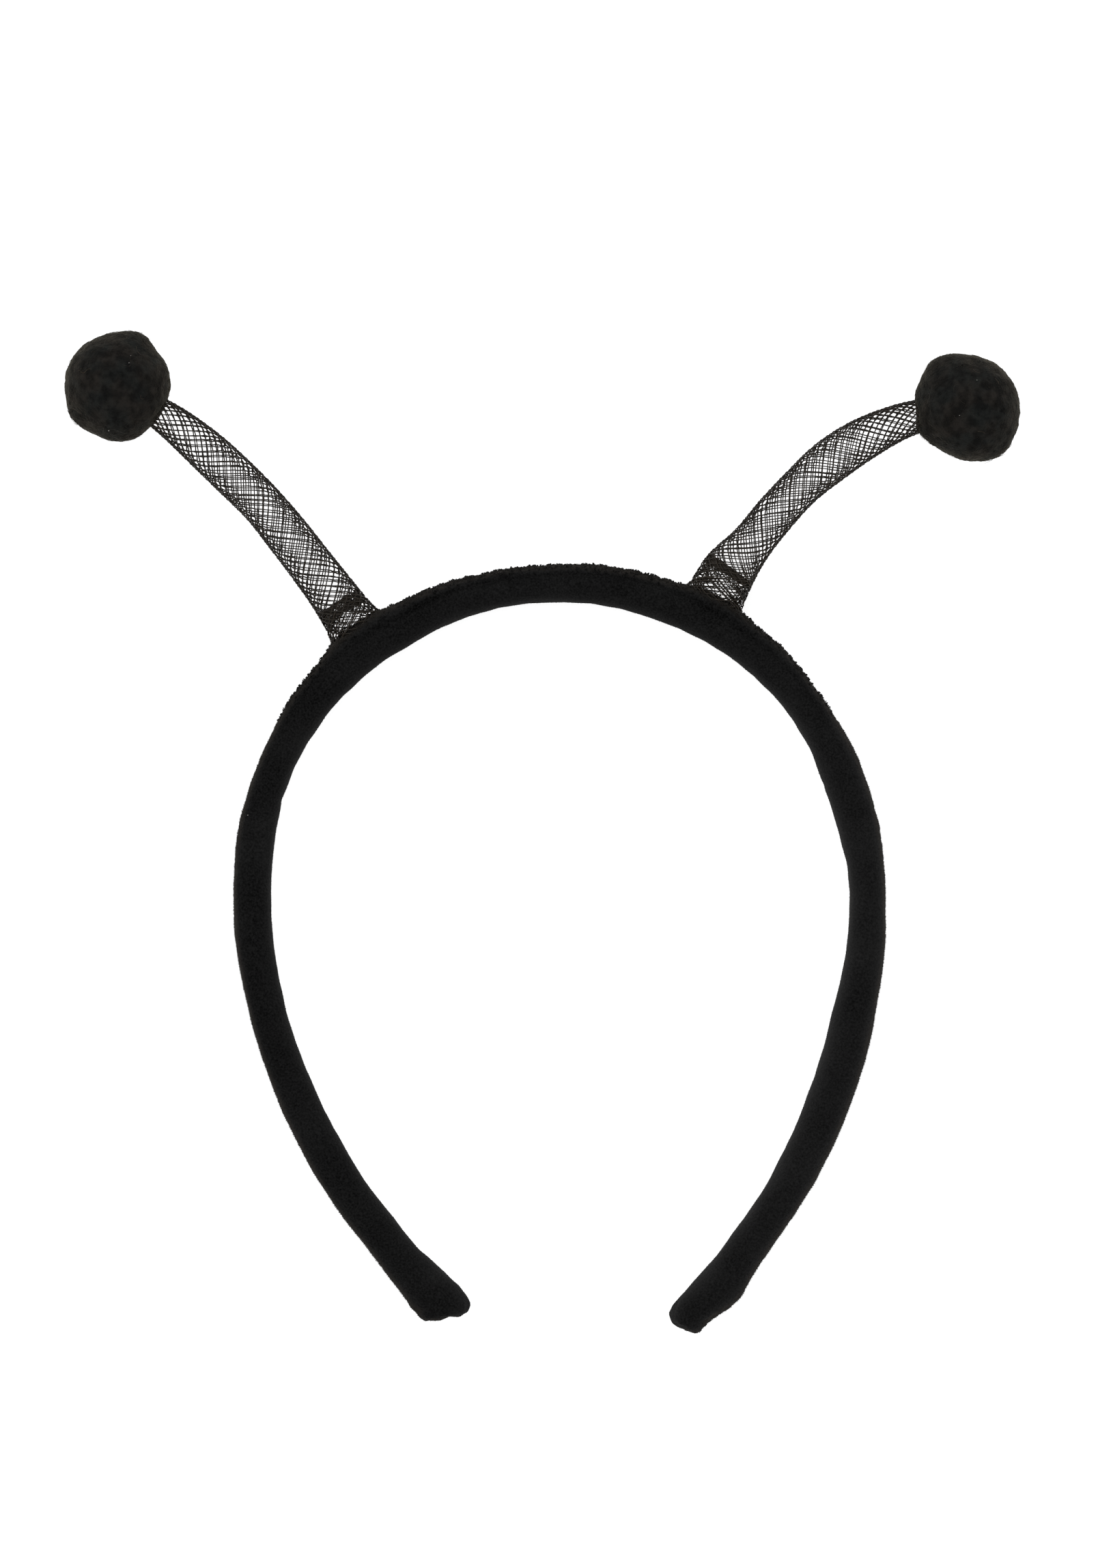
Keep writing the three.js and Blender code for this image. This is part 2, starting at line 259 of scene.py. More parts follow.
shape = bmesh.new()
bmesh.ops.create_grid(shape, x_segments=1, y_segments=1, size=FLOOR_SIZE / 2)
floor = linked("floor", mesh_from(shape, "floor"))
floor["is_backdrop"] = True

paper = Finish(
    "paper",
    {
        "Roughness": 0.9,
        "Specular IOR Level": 0.1,
        "Emission Color": WHITE,
        "Emission Strength": FLOOR_GLOW,
    },
)
paper.feed("Base Color", paper.blend(paper.grain(PAPER_PATCH), PAPER_DARK, PAPER_PALE))
floor.data.materials.append(paper.material)
paper.tell()

# %% [markdown]
# A bright even world is the tent, and one wide lamp overhead adds the rest. The Standard view keeps
# white white.

# %% Light
TENT_LIGHT = 0.9
LAMP_SIZE = 1.4
LAMP_POWER = 10.0
LAMP_PLACE = (-0.25, 0.8, 1.6)

world = bpy.data.worlds.new("tent")
world.use_nodes = True
tent = world.node_tree.nodes["Background"]
tent.inputs["Color"].default_value = WHITE
tent.inputs["Strength"].default_value = TENT_LIGHT
bpy.context.scene.world = world

lamp_data = bpy.data.lights.new("lamp", "AREA")
lamp_data.size = LAMP_SIZE
lamp_data.energy = LAMP_POWER
lamp = linked("lamp", lamp_data)
lamp.location = LAMP_PLACE
lamp.rotation_euler = Vector(-lamp.location).to_track_quat("-Z", "Y").to_euler()
bpy.context.scene.view_settings.view_transform = "Standard"
print(f"tent at {TENT_LIGHT}, lamp of {LAMP_POWER} W and {LAMP_SIZE} m")

# %% [markdown]
# ## Helpers for meshes made of many small things
#
# Every piece is linked in the same way: it gets its finish and rides on the frame's one body.

# %% Pieces
triangle_counts = {}


def new_piece(name, mesh, finish):
    """Links a mesh as a piece that rides on the frame's one body."""
    mesh.materials.clear()
    mesh.materials.append(finish.material)
    piece = linked(name, mesh)
    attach(piece, "root")
    mesh.calc_loop_triangles()
    triangle_counts[name] = len(mesh.loop_triangles)
    print(f"{name}: {triangle_counts[name]} triangles")
    return piece


# %% [markdown]
# Velvet pile, net strands and yarn fibres are thousands of small copies. One object for each would be
# slow, so their corners are worked out together as arrays and become one mesh. A map named OFBake gives
# every hair or strand a small place of its own, so that its colour can be kept in a picture later.

# %% Meshes from arrays
BAKE_MAP = "OFBake"


def paint(mesh, name, values):
    """Keeps a number for every point of a mesh, under a name that a finish can read."""
    mesh.attributes.new(name, "FLOAT", "POINT").data.foreach_set("value", values.astype(np.float32))


def joined_mesh(name, points, faces, places, tones):
    """One smooth mesh, with a map place for each corner of its faces and a tone for each point."""
    mesh = bpy.data.meshes.new(name)
    mesh.vertices.add(len(points))
    mesh.vertices.foreach_set("co", points.astype(np.float32).ravel())
    mesh.loops.add(faces.size)
    mesh.loops.foreach_set("vertex_index", faces.astype(np.int32).ravel())
    mesh.polygons.add(len(faces))
    mesh.polygons.foreach_set("loop_start", np.arange(0, faces.size, faces.shape[1], dtype=np.int32))
    mesh.polygons.foreach_set("use_smooth", np.ones(len(faces), bool))
    mesh.update(calc_edges=True)
    bake_map = mesh.uv_layers.new(name=BAKE_MAP)
    bake_map.uv.foreach_set("vector", places.astype(np.float32).ravel())
    paint(mesh, "tone", tones)
    mesh.validate()
    return mesh


def unit(vectors):
    return vectors / np.linalg.norm(vectors, axis=-1, keepdims=True)


def lumps(points, size, seed):
    """Smooth noise from -1 to 1 at each point, with lumps about this many metres across."""
    shift = Vector((seed * 17.3, seed * 5.1, seed * 11.7))
    return np.array([noise.noise(Vector(p) / size + shift) for p in points])


# %% [markdown]
# A hair is a tapering spike with three sides. Each stop on the way up has a triangle of corners, and a
# tip closes it. Straight hairs need one stop, and bent or blunt ones two. All hairs share one list of
# faces and one small layout on the map, which is moved to each hair's own square.

# %% One hair
FOOT_LAYOUT = [(0.05, 0.02), (0.5, 0.02), (0.28, 0.16)]
WALL_STEP = 0.32
WALL_GAP = 0.02
WALL_FOOT = 0.2
WALL_RISE = 0.76


def hair_layout(stop_count):
    """One hair's faces, and the places of their corners in the hair's square of the map."""
    tip = 3 * stop_count
    faces = [(0, 2, 1)]
    layout = [FOOT_LAYOUT]
    for corner in range(3):
        after = (corner + 1) % 3
        left = WALL_GAP + WALL_STEP * corner
        right = WALL_STEP + WALL_STEP * corner
        for stop in range(stop_count):
            low = WALL_FOOT + WALL_RISE * stop / stop_count
            high = WALL_FOOT + WALL_RISE * (stop + 1) / stop_count
            a, b = 3 * stop + corner, 3 * stop + after
            if stop + 1 == stop_count:
                faces.append((a, b, tip))
                layout.append([(left, low), (right, low), ((left + right) / 2, high)])
            else:
                faces += [(a, b, b + 3), (a, b + 3, a + 3)]
                layout.append([(left, low), (right, low), (right, high)])
                layout.append([(left, low), (right, high), (left, high)])
    return np.array(faces), np.array(layout)


face_counts = [len(hair_layout(stop_count)[0]) for stop_count in (1, 2)]
print("faces of a hair with one stop and with two:", face_counts)

# %% [markdown]
# Thousands of tiny facets would glitter. So a hair takes its shading direction from the skin that it
# stands on, and the whole coat shades as one soft surface.

# %% Hairs
FLOOR_CLEARANCE = 0.02 * MM
SKEW = (0.31, 0.17, 0.53)


def hairs(name, roots, facing, aims, droops, lengths, widths, tones, stops):
    """Joined hairs. stops lists (share of the length, share of the width) below the tip."""
    across = unit(np.cross(aims, np.roll(aims, 1, axis=1) + SKEW))
    beside = np.cross(aims, across)
    corners = []
    for high, wide in stops:
        centres = roots + aims * (lengths * high)[:, None] + droops * high * high
        for corner in range(3):
            turn = 2 * math.pi * corner / 3
            way = math.cos(turn) * across + math.sin(turn) * beside
            corners.append(centres + way * (widths * wide / 2)[:, None])
    corners.append(roots + aims * lengths[:, None] + droops)
    points = np.stack(corners, axis=1)
    points[:, :, 2] = np.maximum(points[:, :, 2], FLOOR_CLEARANCE)

    faces, layout = hair_layout(len(stops))
    count, points_each = points.shape[:2]
    columns = math.ceil(math.sqrt(count))
    number = np.arange(count)
    squares = np.stack([number % columns, number // columns], axis=1)
    all_faces = faces[None] + (number * points_each)[:, None, None]
    places = (layout[None] + squares[:, None, None, :]) / columns
    mesh = joined_mesh(
        name,
        points.reshape(-1, 3),
        all_faces.reshape(-1, 3),
        places.reshape(-1, 2),
        np.repeat(tones, points_each),
    )
    mesh.normals_split_custom_set_from_vertices(np.repeat(facing, points_each, axis=0))
    return mesh


# %% [markdown]
# Hairs need roots. They are scattered over a skin by area: a triangle is picked as often as its area
# asks, and then a spot in it. The skin's own normals say which way it faces there.

# %% Scattered roots
def vectors_of(items, key):
    """The x, y and z that each of a mesh's items keeps under a key."""
    found = np.empty(len(items) * 3, np.float32)
    items.foreach_get(key, found)
    return found.reshape(-1, 3).astype(float)


def positions(mesh):
    return vectors_of(mesh.vertices, "co")


def normals_of(mesh):
    return vectors_of(mesh.vertex_normals, "vector")


def scatter(mesh, count, rng):
    """Seeded spots spread evenly over a mesh's skin, and the way the skin faces there."""
    mesh.calc_loop_triangles()
    corners = np.empty(len(mesh.loop_triangles) * 3, np.int32)
    mesh.loop_triangles.foreach_get("vertices", corners)
    corners = corners.reshape(-1, 3)
    triangles = positions(mesh)[corners]
    facing = normals_of(mesh)[corners]
    first_edges = triangles[:, 1] - triangles[:, 0]
    second_edges = triangles[:, 2] - triangles[:, 0]
    areas = np.linalg.norm(np.cross(first_edges, second_edges), axis=1)
    steps = (np.arange(count) + rng.random(count)) / count
    picked = np.minimum(np.searchsorted(np.cumsum(areas) / areas.sum(), steps), len(areas) - 1)
    first = np.sqrt(rng.random(count))
    second = rng.random(count)
    shares = np.stack([1 - first, first * (1 - second), first * second], axis=1)[:, :, None]
    return (triangles[picked] * shares).sum(1), unit((facing[picked] * shares).sum(1))


# %% [markdown]
# ## Velvet band
#
# The band is a springy strip with a little padding, in a sleeve of black velvet. Two things make it
# read as velvet: the soft padded section with a long crease near its outer edge, and a pile that stands
# a little proud and catches light at the edges. The CAD solid already has the section, so a copy of it
# is merged, remeshed evenly and smoothed. Then the crease and the folds are pressed into it, as a
# sculptor would, because the coarse mesh that a cloth simulation starts from would lose a crease this
# narrow.

# %% Velvet skin
SKIN_VOXEL = 0.55 * MM
MERGE_DISTANCE = 0.001 * MM


def merged_copy(node):
    """A new mesh from a CAD node, with its loose triangles merged into one skin."""
    shape = bmesh.new()
    shape.from_mesh(frame["nodes"][node].data)
    bmesh.ops.remove_doubles(shape, verts=shape.verts, dist=MERGE_DISTANCE)
    return mesh_from(shape, node + "_copy")


def with_modifiers(mesh, name, settings):
    """The mesh after a list of (modifier type, settings), applied."""
    carrier = linked(name + "_carrier", mesh)
    for kind, values in settings:
        modifier = carrier.modifiers.new(kind.lower(), kind)
        for key, value in values.items():
            setattr(modifier, key, value)
    seen = carrier.evaluated_get(bpy.context.evaluated_depsgraph_get())
    made = bpy.data.meshes.new_from_object(seen)
    made.name = name
    bpy.data.objects.remove(carrier)
    return made


skin_mesh = with_modifiers(
    merged_copy("velvet_band"),
    "velvet_skin",
    [
        ("REMESH", {"mode": "VOXEL", "voxel_size": SKIN_VOXEL, "use_smooth_shade": True}),
        ("SMOOTH", {"factor": 0.5, "iterations": 8}),
    ],
)
print(f"velvet skin: {len(skin_mesh.vertices)} corners")

# %% [markdown]
# To say where a point is on the curved band, it is set against the band's centre line. The line's rows
# are the CAD model's own, from the right tip over the crown to the left tip, in millimetres. A smooth
# curve runs through them, and a search tree finds the nearest part of it quickly.

# %% Band route
# x, y and thickness
BAND_ROWS = [
    (31.3, -104.8, 7.7), (32.9, -102.1, 8.0), (39.0, -96.5, 9.7), (42.9, -90.5, 8.4), (50.9, -79.1, 8.4),
    (57.5, -67.0, 9.1), (62.7, -54.1, 9.2), (66.4, -40.7, 9.1), (69.1, -27.0, 8.2), (69.7, -13.0, 7.6),
    (67.9, 0.7, 8.8), (63.6, 13.9, 9.0), (57.2, 26.0, 7.9), (48.3, 36.5, 8.6), (37.2, 44.5, 8.7),
    (24.7, 50.2, 8.8), (11.0, 53.0, 8.3), (-3.0, 52.9, 7.9), (-16.8, 50.3, 8.2), (-29.5, 44.7, 9.0),
    (-40.9, 37.0, 8.9), (-50.1, 27.0, 8.4), (-56.8, 15.0, 7.4), (-60.9, 1.9, 8.0), (-62.3, -11.9, 8.1),
    (-61.5, -25.7, 7.8), (-58.8, -39.5, 7.7), (-54.3, -52.8, 7.9), (-48.5, -65.5, 8.2), (-41.4, -77.4, 8.3),
    (-33.0, -88.3, 8.4), (-26.7, -96.1, 8.9), (-22.3, -100.3, 10.3), (-21.3, -102.5, 10.9),
]
ROUTE_STEPS = 700


def smooth_rows(rows, shares):
    """Points on a smooth curve through the rows, at shares from 0 to 1 of the way."""
    more = np.vstack([2 * rows[0] - rows[1], rows, 2 * rows[-1] - rows[-2]])
    place = np.clip(shares, 0, 1) * (len(rows) - 1)
    row = np.minimum(place.astype(int), len(rows) - 2)
    t = (place - row)[:, None]
    before, start, end, after = (more[row + k] for k in range(4))
    bend = 2 * before - 5 * start + 4 * end - after + t * (3 * (start - end) + after - before)
    return start + 0.5 * t * (end - before + t * bend)


route = smooth_rows(np.array(BAND_ROWS) * MM, np.linspace(0, 1, ROUTE_STEPS))
route_tree = KDTree(ROUTE_STEPS)
for step, (x, y, _) in enumerate(route):
    route_tree.insert((x, y, 0.0), step)
route_tree.balance()
route_ahead = unit(np.gradient(route[:, :2], axis=0))
route_outward = np.stack([route_ahead[:, 1], -route_ahead[:, 0]], axis=1)
route_length = np.linalg.norm(np.diff(route[:, :2], axis=0), axis=1).sum()
print(f"band route: {len(BAND_ROWS)} rows, {route_length / MM:.0f} mm from tip to tip")

# %% [markdown]
# A point's place is then its angle about the middle of the head opening, and how far across the band it
# lies, from 0 at the inner edge to 1 at the outer edge. A third number is its nearness to any edge. It
# counts the rounded ends past the last rows too, so that the tips are edges all round.

# %% Places on the band
HEAD_CENTRE = Vector((3.5, -10.0, 0.0)) * MM
CAP_LENGTH = 2.1 * MM


def beside_band(points):
    """How far each point lies outward of the line and past its ends, and the thickness there."""
    nearest = np.array([route_tree.find((x, y, 0.0))[1] for x, y, _ in points])
    aside = points[:, :2] - route[nearest, :2]
    outward = (aside * route_outward[nearest]).sum(1)
    past = np.abs((aside * route_ahead[nearest]).sum(1))
    return outward, past, route[nearest, 2]


def across_band(points):
    """Each point's angle about the head opening, share of the way across, and nearness to any edge."""
    flat = points - np.array(HEAD_CENTRE)
    outward, past, thickness = beside_band(points)
    edge = np.clip(np.hypot(2 * outward / thickness, past / CAP_LENGTH), 0, 1)
    return np.arctan2(flat[:, 1], flat[:, 0]), 0.5 + outward / thickness, edge


points = positions(skin_mesh)
normals = normals_of(skin_mesh)
angles, across, edge = across_band(points)
print(f"the skin reaches from {across.min():.2f} to {across.max():.2f} of the way across")

# %% [markdown]
# ## Sculpting the velvet
#
# The sculpting is one number for each corner of the skin: how far it is pushed along its own normal.
# The cells that follow add to it, one cause at a time, and the last one moves the corners. Two small
# curves do most of the work. A ramp goes from 0 to 1 between two values, and a bell is 1 in the middle
# and fades to both sides.

# %% Ramps and bells
def ramp(values, start, end):
    """From 0 where the values are at start to 1 where they are at end, and level beyond."""
    return np.clip((values - start) / (end - start), 0, 1)


def bell(apart, width):
    """1 where apart is 0, and almost nothing two widths away."""
    return np.exp(-((apart / width) ** 2))


print(f"a bell one width from its middle is {bell(1, 1):.2f}, and two widths from it {bell(2, 1):.2f}")

# %% [markdown]
# The crease is where the sleeve is sewn. It runs over the crown from shoulder to shoulder, wanders a
# little and fades down the sides.

# %% Crease
CREASE_ACROSS = 0.78
CREASE_WIDTH = 0.1
CREASE_FULL = math.radians(30)
CREASE_FADED = math.radians(90)
CREASE_LEAST = 0.1
CREASE_WAVES = [
    {"swing": 0.03, "waves": 5, "start": 1.0},
    {"swing": 0.02, "waves": 11, "start": 0.0},
]


def from_crown(angles):
    """How far each angle round the head is from the middle of the crown."""
    return np.abs((angles - math.pi / 2 + math.pi) % (2 * math.pi) - math.pi)


def in_crease(angles, across):
    """How deep in the sewn crease each spot lies, from 0 to 1."""
    kept = np.maximum(ramp(from_crown(angles), CREASE_FADED, CREASE_FULL), CREASE_LEAST)
    wander = sum(wave["swing"] * np.sin(wave["waves"] * angles + wave["start"]) for wave in CREASE_WAVES)
    return kept * bell(across - CREASE_ACROSS - wander, CREASE_WIDTH)


crease = in_crease(angles, across)
print(f"{(crease > 0.5).sum()} of {len(points)} corners lie in the crease")

# %% [markdown]
# The first push draws the crown's outer side in a little, to leave room for the pile, sinks the crease
# in the upper half and adds the low lumps of the padding.

# %% Crease and padding
EDGE_GROWTH = 0.1 * MM
OUTER_INSET = 0.08 * MM
CROWN_INSET = 0.2 * MM
CROWN_FULL = math.radians(39)
CROWN_FADED = math.radians(104)
CREASE_DEPTH = 0.75 * MM
LUMP_SIZE = 9 * MM
LUMP_DEPTH = 0.22 * MM
FINE_LUMP_SIZE = 3 * MM
FINE_LUMP_DEPTH = 0.4 * LUMP_DEPTH


def crown_share(angles):
    """1 on the crown, fading to 0 down the sides."""
    return ramp(from_crown(angles), CROWN_FADED, CROWN_FULL)


def tell_push(cause):
    print(f"with the {cause}, the skin is pushed {push.min() / MM:.2f} to {push.max() / MM:.2f} mm")


on_crown = crown_share(angles)
upper = ramp(points[:, 2], band_middle, band_high.z)
push = EDGE_GROWTH - (OUTER_INSET + CROWN_INSET * on_crown) * np.clip(across, 0, 1)
push -= CREASE_DEPTH * crease * np.minimum(1, 2 * upper)
push += LUMP_DEPTH * lumps(points, LUMP_SIZE, 1) + FINE_LUMP_DEPTH * lumps(points, FINE_LUMP_SIZE, 2)
tell_push("crease and padding")

# %% [markdown]
# A few shallow folds nick the inner edge where the sleeve bunches below the shoulders. Each is a bell
# along the band, tilted a little, that fades out just past the band's middle. The table's places,
# depths and widths are in millimetres.

# %% Folds
ROUGH_THICKNESS = 8
FOLD_FULL = 0.1
FOLD_END = 0.6
FOLDS = [
    {"x": -59.2, "y": 9.5, "depth": 0.2, "width": 1.8, "tilt": 0.4},
    {"x": 60.7, "y": 20.1, "depth": 0.25, "width": 5.0, "tilt": -0.4},
    {"x": 64.0, "y": 13.2, "depth": 0.15, "width": 0.9, "tilt": -0.4},
    {"x": 69.1, "y": -6.1, "depth": 0.2, "width": 3.5, "tilt": -0.5},
]

for fold in FOLDS:
    right = fold["x"] * MM - HEAD_CENTRE.x
    up = fold["y"] * MM - HEAD_CENTRE.y
    along = (angles - math.atan2(up, right)) * math.hypot(up, right) / MM
    along += fold["tilt"] * (across - 0.5) * ROUGH_THICKNESS
    push -= fold["depth"] * MM * bell(along, fold["width"]) * ramp(across, FOLD_END, FOLD_FULL)
tell_push("folds")

# %% [markdown]
# The velvet swells round the foot of each net, which is sewn in there. That is a bell with a flat top,
# on the outer side only.

# %% Collars
COLLAR_RISE = 1.1 * MM
COLLAR_START = 0.65
COLLAR_FULL = 0.9
COLLARS = [
    {"x": -41.2, "y": 44.4, "width": 8.4},
    {"x": 38.2, "y": 50.4, "width": 8.4},
]


def apart_from(place):
    """How far each corner of the skin is from a place, seen from above, in millimetres."""
    return np.hypot(points[:, 0] / MM - place["x"], points[:, 1] / MM - place["y"])


for collar in COLLARS:
    flat_bell = np.exp(-((apart_from(collar) / collar["width"]) ** 4))
    push += COLLAR_RISE * flat_bell * ramp(across, COLLAR_START, COLLAR_FULL)
tell_push("collars")

# %% [markdown]
# Wear comes next. The outer rim is roughened with small lumps, most of all on the crown, and the tips
# with larger ones. A short list of touches, in millimetres too, then presses or swells the skin near
# the tips until their outline is right.

# %% Worn edges
RIM_START = 0.725
RIM_FULL = 0.975
RIM_LUMP_SIZE = 1.1 * MM
RIM_LUMP_HEIGHT = 0.4 * MM
SIDE_WEAR = 0.15
TIPS_START = -99.0 * MM
TIPS_FULL = -103.0 * MM
TIP_LUMP_SIZE = 1.5 * MM
TIP_LUMP_HEIGHT = 0.6 * MM
TOUCHES = [
    {"x": -23.2, "y": -92.5, "push": 0.6, "width": 3.5},
    {"x": -24.6, "y": -105.6, "push": -1.0, "width": 2.4},
    {"x": -27.8, "y": -101.8, "push": 0.5, "width": 2.2},
    {"x": -16.6, "y": -102.4, "push": 0.8, "width": 2.6},
    {"x": -20.6, "y": -104.3, "push": -0.5, "width": 1.6},
    {"x": 27.6, "y": -102.8, "push": 0.4, "width": 2.5},
    {"x": 33.9, "y": -106.9, "push": -0.5, "width": 2.0},
    {"x": 44.4, "y": -96.6, "push": -0.35, "width": 3.0},
]

rim_wear = ramp(across, RIM_START, RIM_FULL) * (SIDE_WEAR + (1 - SIDE_WEAR) * on_crown)
tip_wear = ramp(points[:, 1], TIPS_START, TIPS_FULL)
push += RIM_LUMP_HEIGHT * rim_wear * lumps(points, RIM_LUMP_SIZE, 3)
push += TIP_LUMP_HEIGHT * tip_wear * lumps(points, TIP_LUMP_SIZE, 4)
for touch in TOUCHES:
    push += touch["push"] * MM * bell(apart_from(touch), touch["width"])
tell_push("worn edges")

# %% [markdown]
# Black velvet isn't one black. Its tones carry painted light: a painted sheen makes the pile paler
# towards the upper edges, and paler again on the right side, where the nap is brushed another way, and
# painted shade makes it darkest in the crease. Along the upper rim, the band's inner side apart, it
# takes a painted warm edge light. Both are numbers that the skin and its hairs keep, so that they agree.

# %% Tones of the pile
# The strengths of the painted sheen, the painted crease shade and the painted warm edge light.
FACE_TONE = 0.015
BRUSHED_SHEEN_TONE = 0.07
EDGE_SHEEN_TONE = 0.36
BRUSHED_EDGE_SHEEN_TONE = 0.4
CREASE_SHADE_TONE = 0.14
BRUSHED_SHEEN_TURN = 0.5
BRUSHED_SHEEN_GAIN = 1.3
BRUSHED_SHEEN_LOSS = 0.1
EDGE_LIGHT_NEAR = 0.74
EDGE_LIGHT_START = 0.25
EDGE_LIGHT_FULL = 0.5


def high_up(points):
    """From 0 in the lowest third of the band to 1 in the highest third."""
    return np.clip(3 * (points[:, 2] - band_low.z) / (band_high.z - band_low.z) - 1, 0, 1)


def pile_tones(points, angles, across, edge):
    """Pile paleness with painted sheen and crease shade, and painted warm edge light, tips' ends included.
    """
    # A painted sheen on the right side, where the nap is brushed another way.
    brushed_sheen = np.clip(BRUSHED_SHEEN_GAIN * np.cos(angles + BRUSHED_SHEEN_TURN) - BRUSHED_SHEEN_LOSS, 0, 1)
    high = high_up(points)
    tones = FACE_TONE + BRUSHED_SHEEN_TONE * brushed_sheen
    # A painted sheen towards the upper edges.
    tones += (EDGE_SHEEN_TONE + BRUSHED_EDGE_SHEEN_TONE * brushed_sheen) * high * edge**3
    # A painted warm edge light along the upper outer edge.
    rims = high * ramp(edge, EDGE_LIGHT_NEAR, 1) * ramp(across, EDGE_LIGHT_START, EDGE_LIGHT_FULL)
    # Painted shade in the crease.
    return tones - CREASE_SHADE_TONE * in_crease(angles, across), rims


# %% [markdown]
# Now the corners move. The upper edges are rounded off as well, and nothing goes below the floor.

# %% Pressed skin
ROUNDING = 1.2 * MM
ROUNDING_START = 0.3
SKIN_FLOOR = 0.1 * MM
# The skin takes only part of the painted warm edge light.
SKIN_EDGE_LIGHT = 0.85


def move_points(mesh, points):
    mesh.vertices.foreach_set("co", points.astype(np.float32).ravel())
    mesh.update()


points += normals * push[:, None]
points[:, 2] -= ROUNDING * upper * ramp(edge, ROUNDING_START, 1) ** 2
points[:, 2] = np.maximum(points[:, 2], SKIN_FLOOR)
move_points(skin_mesh, points)
# The skin keeps the painted sheen and crease shade as its tone, and the painted warm edge light as its rim.
skin_tones, skin_rims = pile_tones(points, angles, across, edge)
paint(skin_mesh, "tone", skin_tones)
paint(skin_mesh, "rim", SKIN_EDGE_LIGHT * skin_rims)
print(f"the skin's tones go from {skin_tones.min():.2f} to {skin_tones.max():.2f}")

# %% [markdown]
# ## Velvet
#
# Velvet is darkest where you look straight into the pile, and lighter where the pile leans or turns
# away. The shader's sheen gives part of that edge light, and the painted sheen in the pile's tones the
# rest. Along the upper outer edge the colour turns to a painted warm edge light. The nap lies in broad
# patches, and a fine fluff breaks them up.

# %% Velvet finish
NAP_PATCH = 11 * MM
FLUFF_SIZE = 0.42 * MM
FLUFF_DEPTH = 0.2 * MM
VELVET_DARK = grey(0.0018)
VELVET_PALE = grey(0.0245)
# The colour of the painted warm edge light.
VELVET_EDGE_LIGHT = grey(0.019, 0.16)

velvet = Finish(
    "black_velvet",
    {
        "Specular IOR Level": 0.0,
        "Sheen Weight": 0.05,
        "Sheen Roughness": 0.3,
        "Sheen Tint": (1.0, 0.97, 0.94, 1.0),
    },
)
nap = velvet.spread(velvet.grain(NAP_PATCH, detail=3.0), 0.35, 0.68)
fluff = velvet.grain(FLUFF_SIZE)
velvet_tone = 0.12 * nap + 0.32 * velvet.spread(fluff, 0.3, 0.7) + 0.9 * velvet.painted("tone")
face_colour = velvet.blend(velvet_tone, VELVET_DARK, VELVET_PALE)
# The upper outer edge turns to a painted warm edge light.
velvet.feed("Base Color", velvet.blend(velvet.painted("rim"), face_colour, VELVET_EDGE_LIGHT))
velvet.feed("Roughness", 0.8 + 0.15 * fluff)
velvet.feed("Normal", velvet.bumps(fluff, FLUFF_DEPTH))
velvet.tell()

velvet_skin = new_piece("velvet_skin", skin_mesh, velvet)
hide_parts("velvet_band")

# %% [markdown]
# The pile is short hairs that stand on the skin and lean the way the nap was brushed, neighbours
# together in clumps. Thousands of straight hairs with one stop each are enough, because only their tips
# show, and they break the outline up as real velvet does. They are longer on the outer half than along
# the inner edge. The side that the band lies on needs none.

# %% Pile roots
PILE_SEED = 11
PILE_COUNT = 70000
BRUSH_SIZE = 8 * MM
CLUMP_SIZE = 0.8 * MM
UNDERSIDE = -0.7

rng = np.random.default_rng(PILE_SEED)
roots, facing = scatter(skin_mesh, PILE_COUNT, rng)
seen = facing[:, 2] > UNDERSIDE
roots, facing = roots[seen], facing[seen]
count = len(roots)
brushed = np.stack([lumps(roots, BRUSH_SIZE, 5 + k) for k in range(3)], axis=1)
clumped = np.stack([lumps(roots, CLUMP_SIZE, 9 + k) for k in range(3)], axis=1)
print(f"{count} of {PILE_COUNT} hairs aren't on the underside")

# %% Velvet pile
PILE_LENGTH = 0.5 * MM
PILE_WIDTH = 0.16 * MM
PILE_DEPTH = 0.1 * MM
OUTER_START = 0.35
OUTER_FULL = 0.85

aims = unit(facing + 0.7 * brushed + 0.8 * clumped + 0.2 * rng.standard_normal((count, 3)))
root_angles, root_across, root_edge = across_band(roots)
standing = 0.45 + 0.3 * ramp(root_across, OUTER_START, OUTER_FULL)
lengths = PILE_LENGTH * standing * (0.85 + 0.5 * clumped[:, 1] + 0.25 * rng.random(count))
widths = PILE_WIDTH * (0.8 + 0.4 * rng.random(count))
# The hairs take the painted sheen, crease shade and warm edge light of the skin where they stand, with a
# little random tone added.
tones, rims = pile_tones(roots, root_angles, root_across, root_edge)
tones = tones + 0.08 * clumped[:, 0] + 0.05 * rng.standard_normal(count)
feet = roots - PILE_DEPTH * facing
straight = np.zeros_like(roots)
left_half = roots[:, 0] < HEAD_CENTRE.x
for side, half in (("left", left_half), ("right", ~left_half)):
    columns = (feet, facing, aims, straight, lengths, widths, tones)
    pile = hairs(f"{side}_pile", *(column[half] for column in columns), stops=[(0, 1)])
    paint(pile, "rim", np.repeat(rims[half], len(pile.vertices) // half.sum()))
    new_piece(f"{side}_velvet_pile", pile, velvet)

# %% [markdown]
# Along the upper outer rim of the crown the pile is rubbed up, and its hairs stick together in small
# tufts. A tuft grows from a root of the pile. It is seven hairs that stand nearly side by side, the
# outer ones a little shorter, and a second stop near the tip makes each end bluntly.

# %% Rubbed tufts
TUFT_SHARE = 0.3
TUFT_HAIRS = 7
TUFT_REACH = 0.25 * MM
TUFT_LENGTH = 0.56 * MM
TUFT_WIDTH = 0.2 * MM
TUFT_DEPTH = 0.12 * MM
WORN_START = 0.76
WORN_FULL = 0.96
WORN_LEAST = 0.3

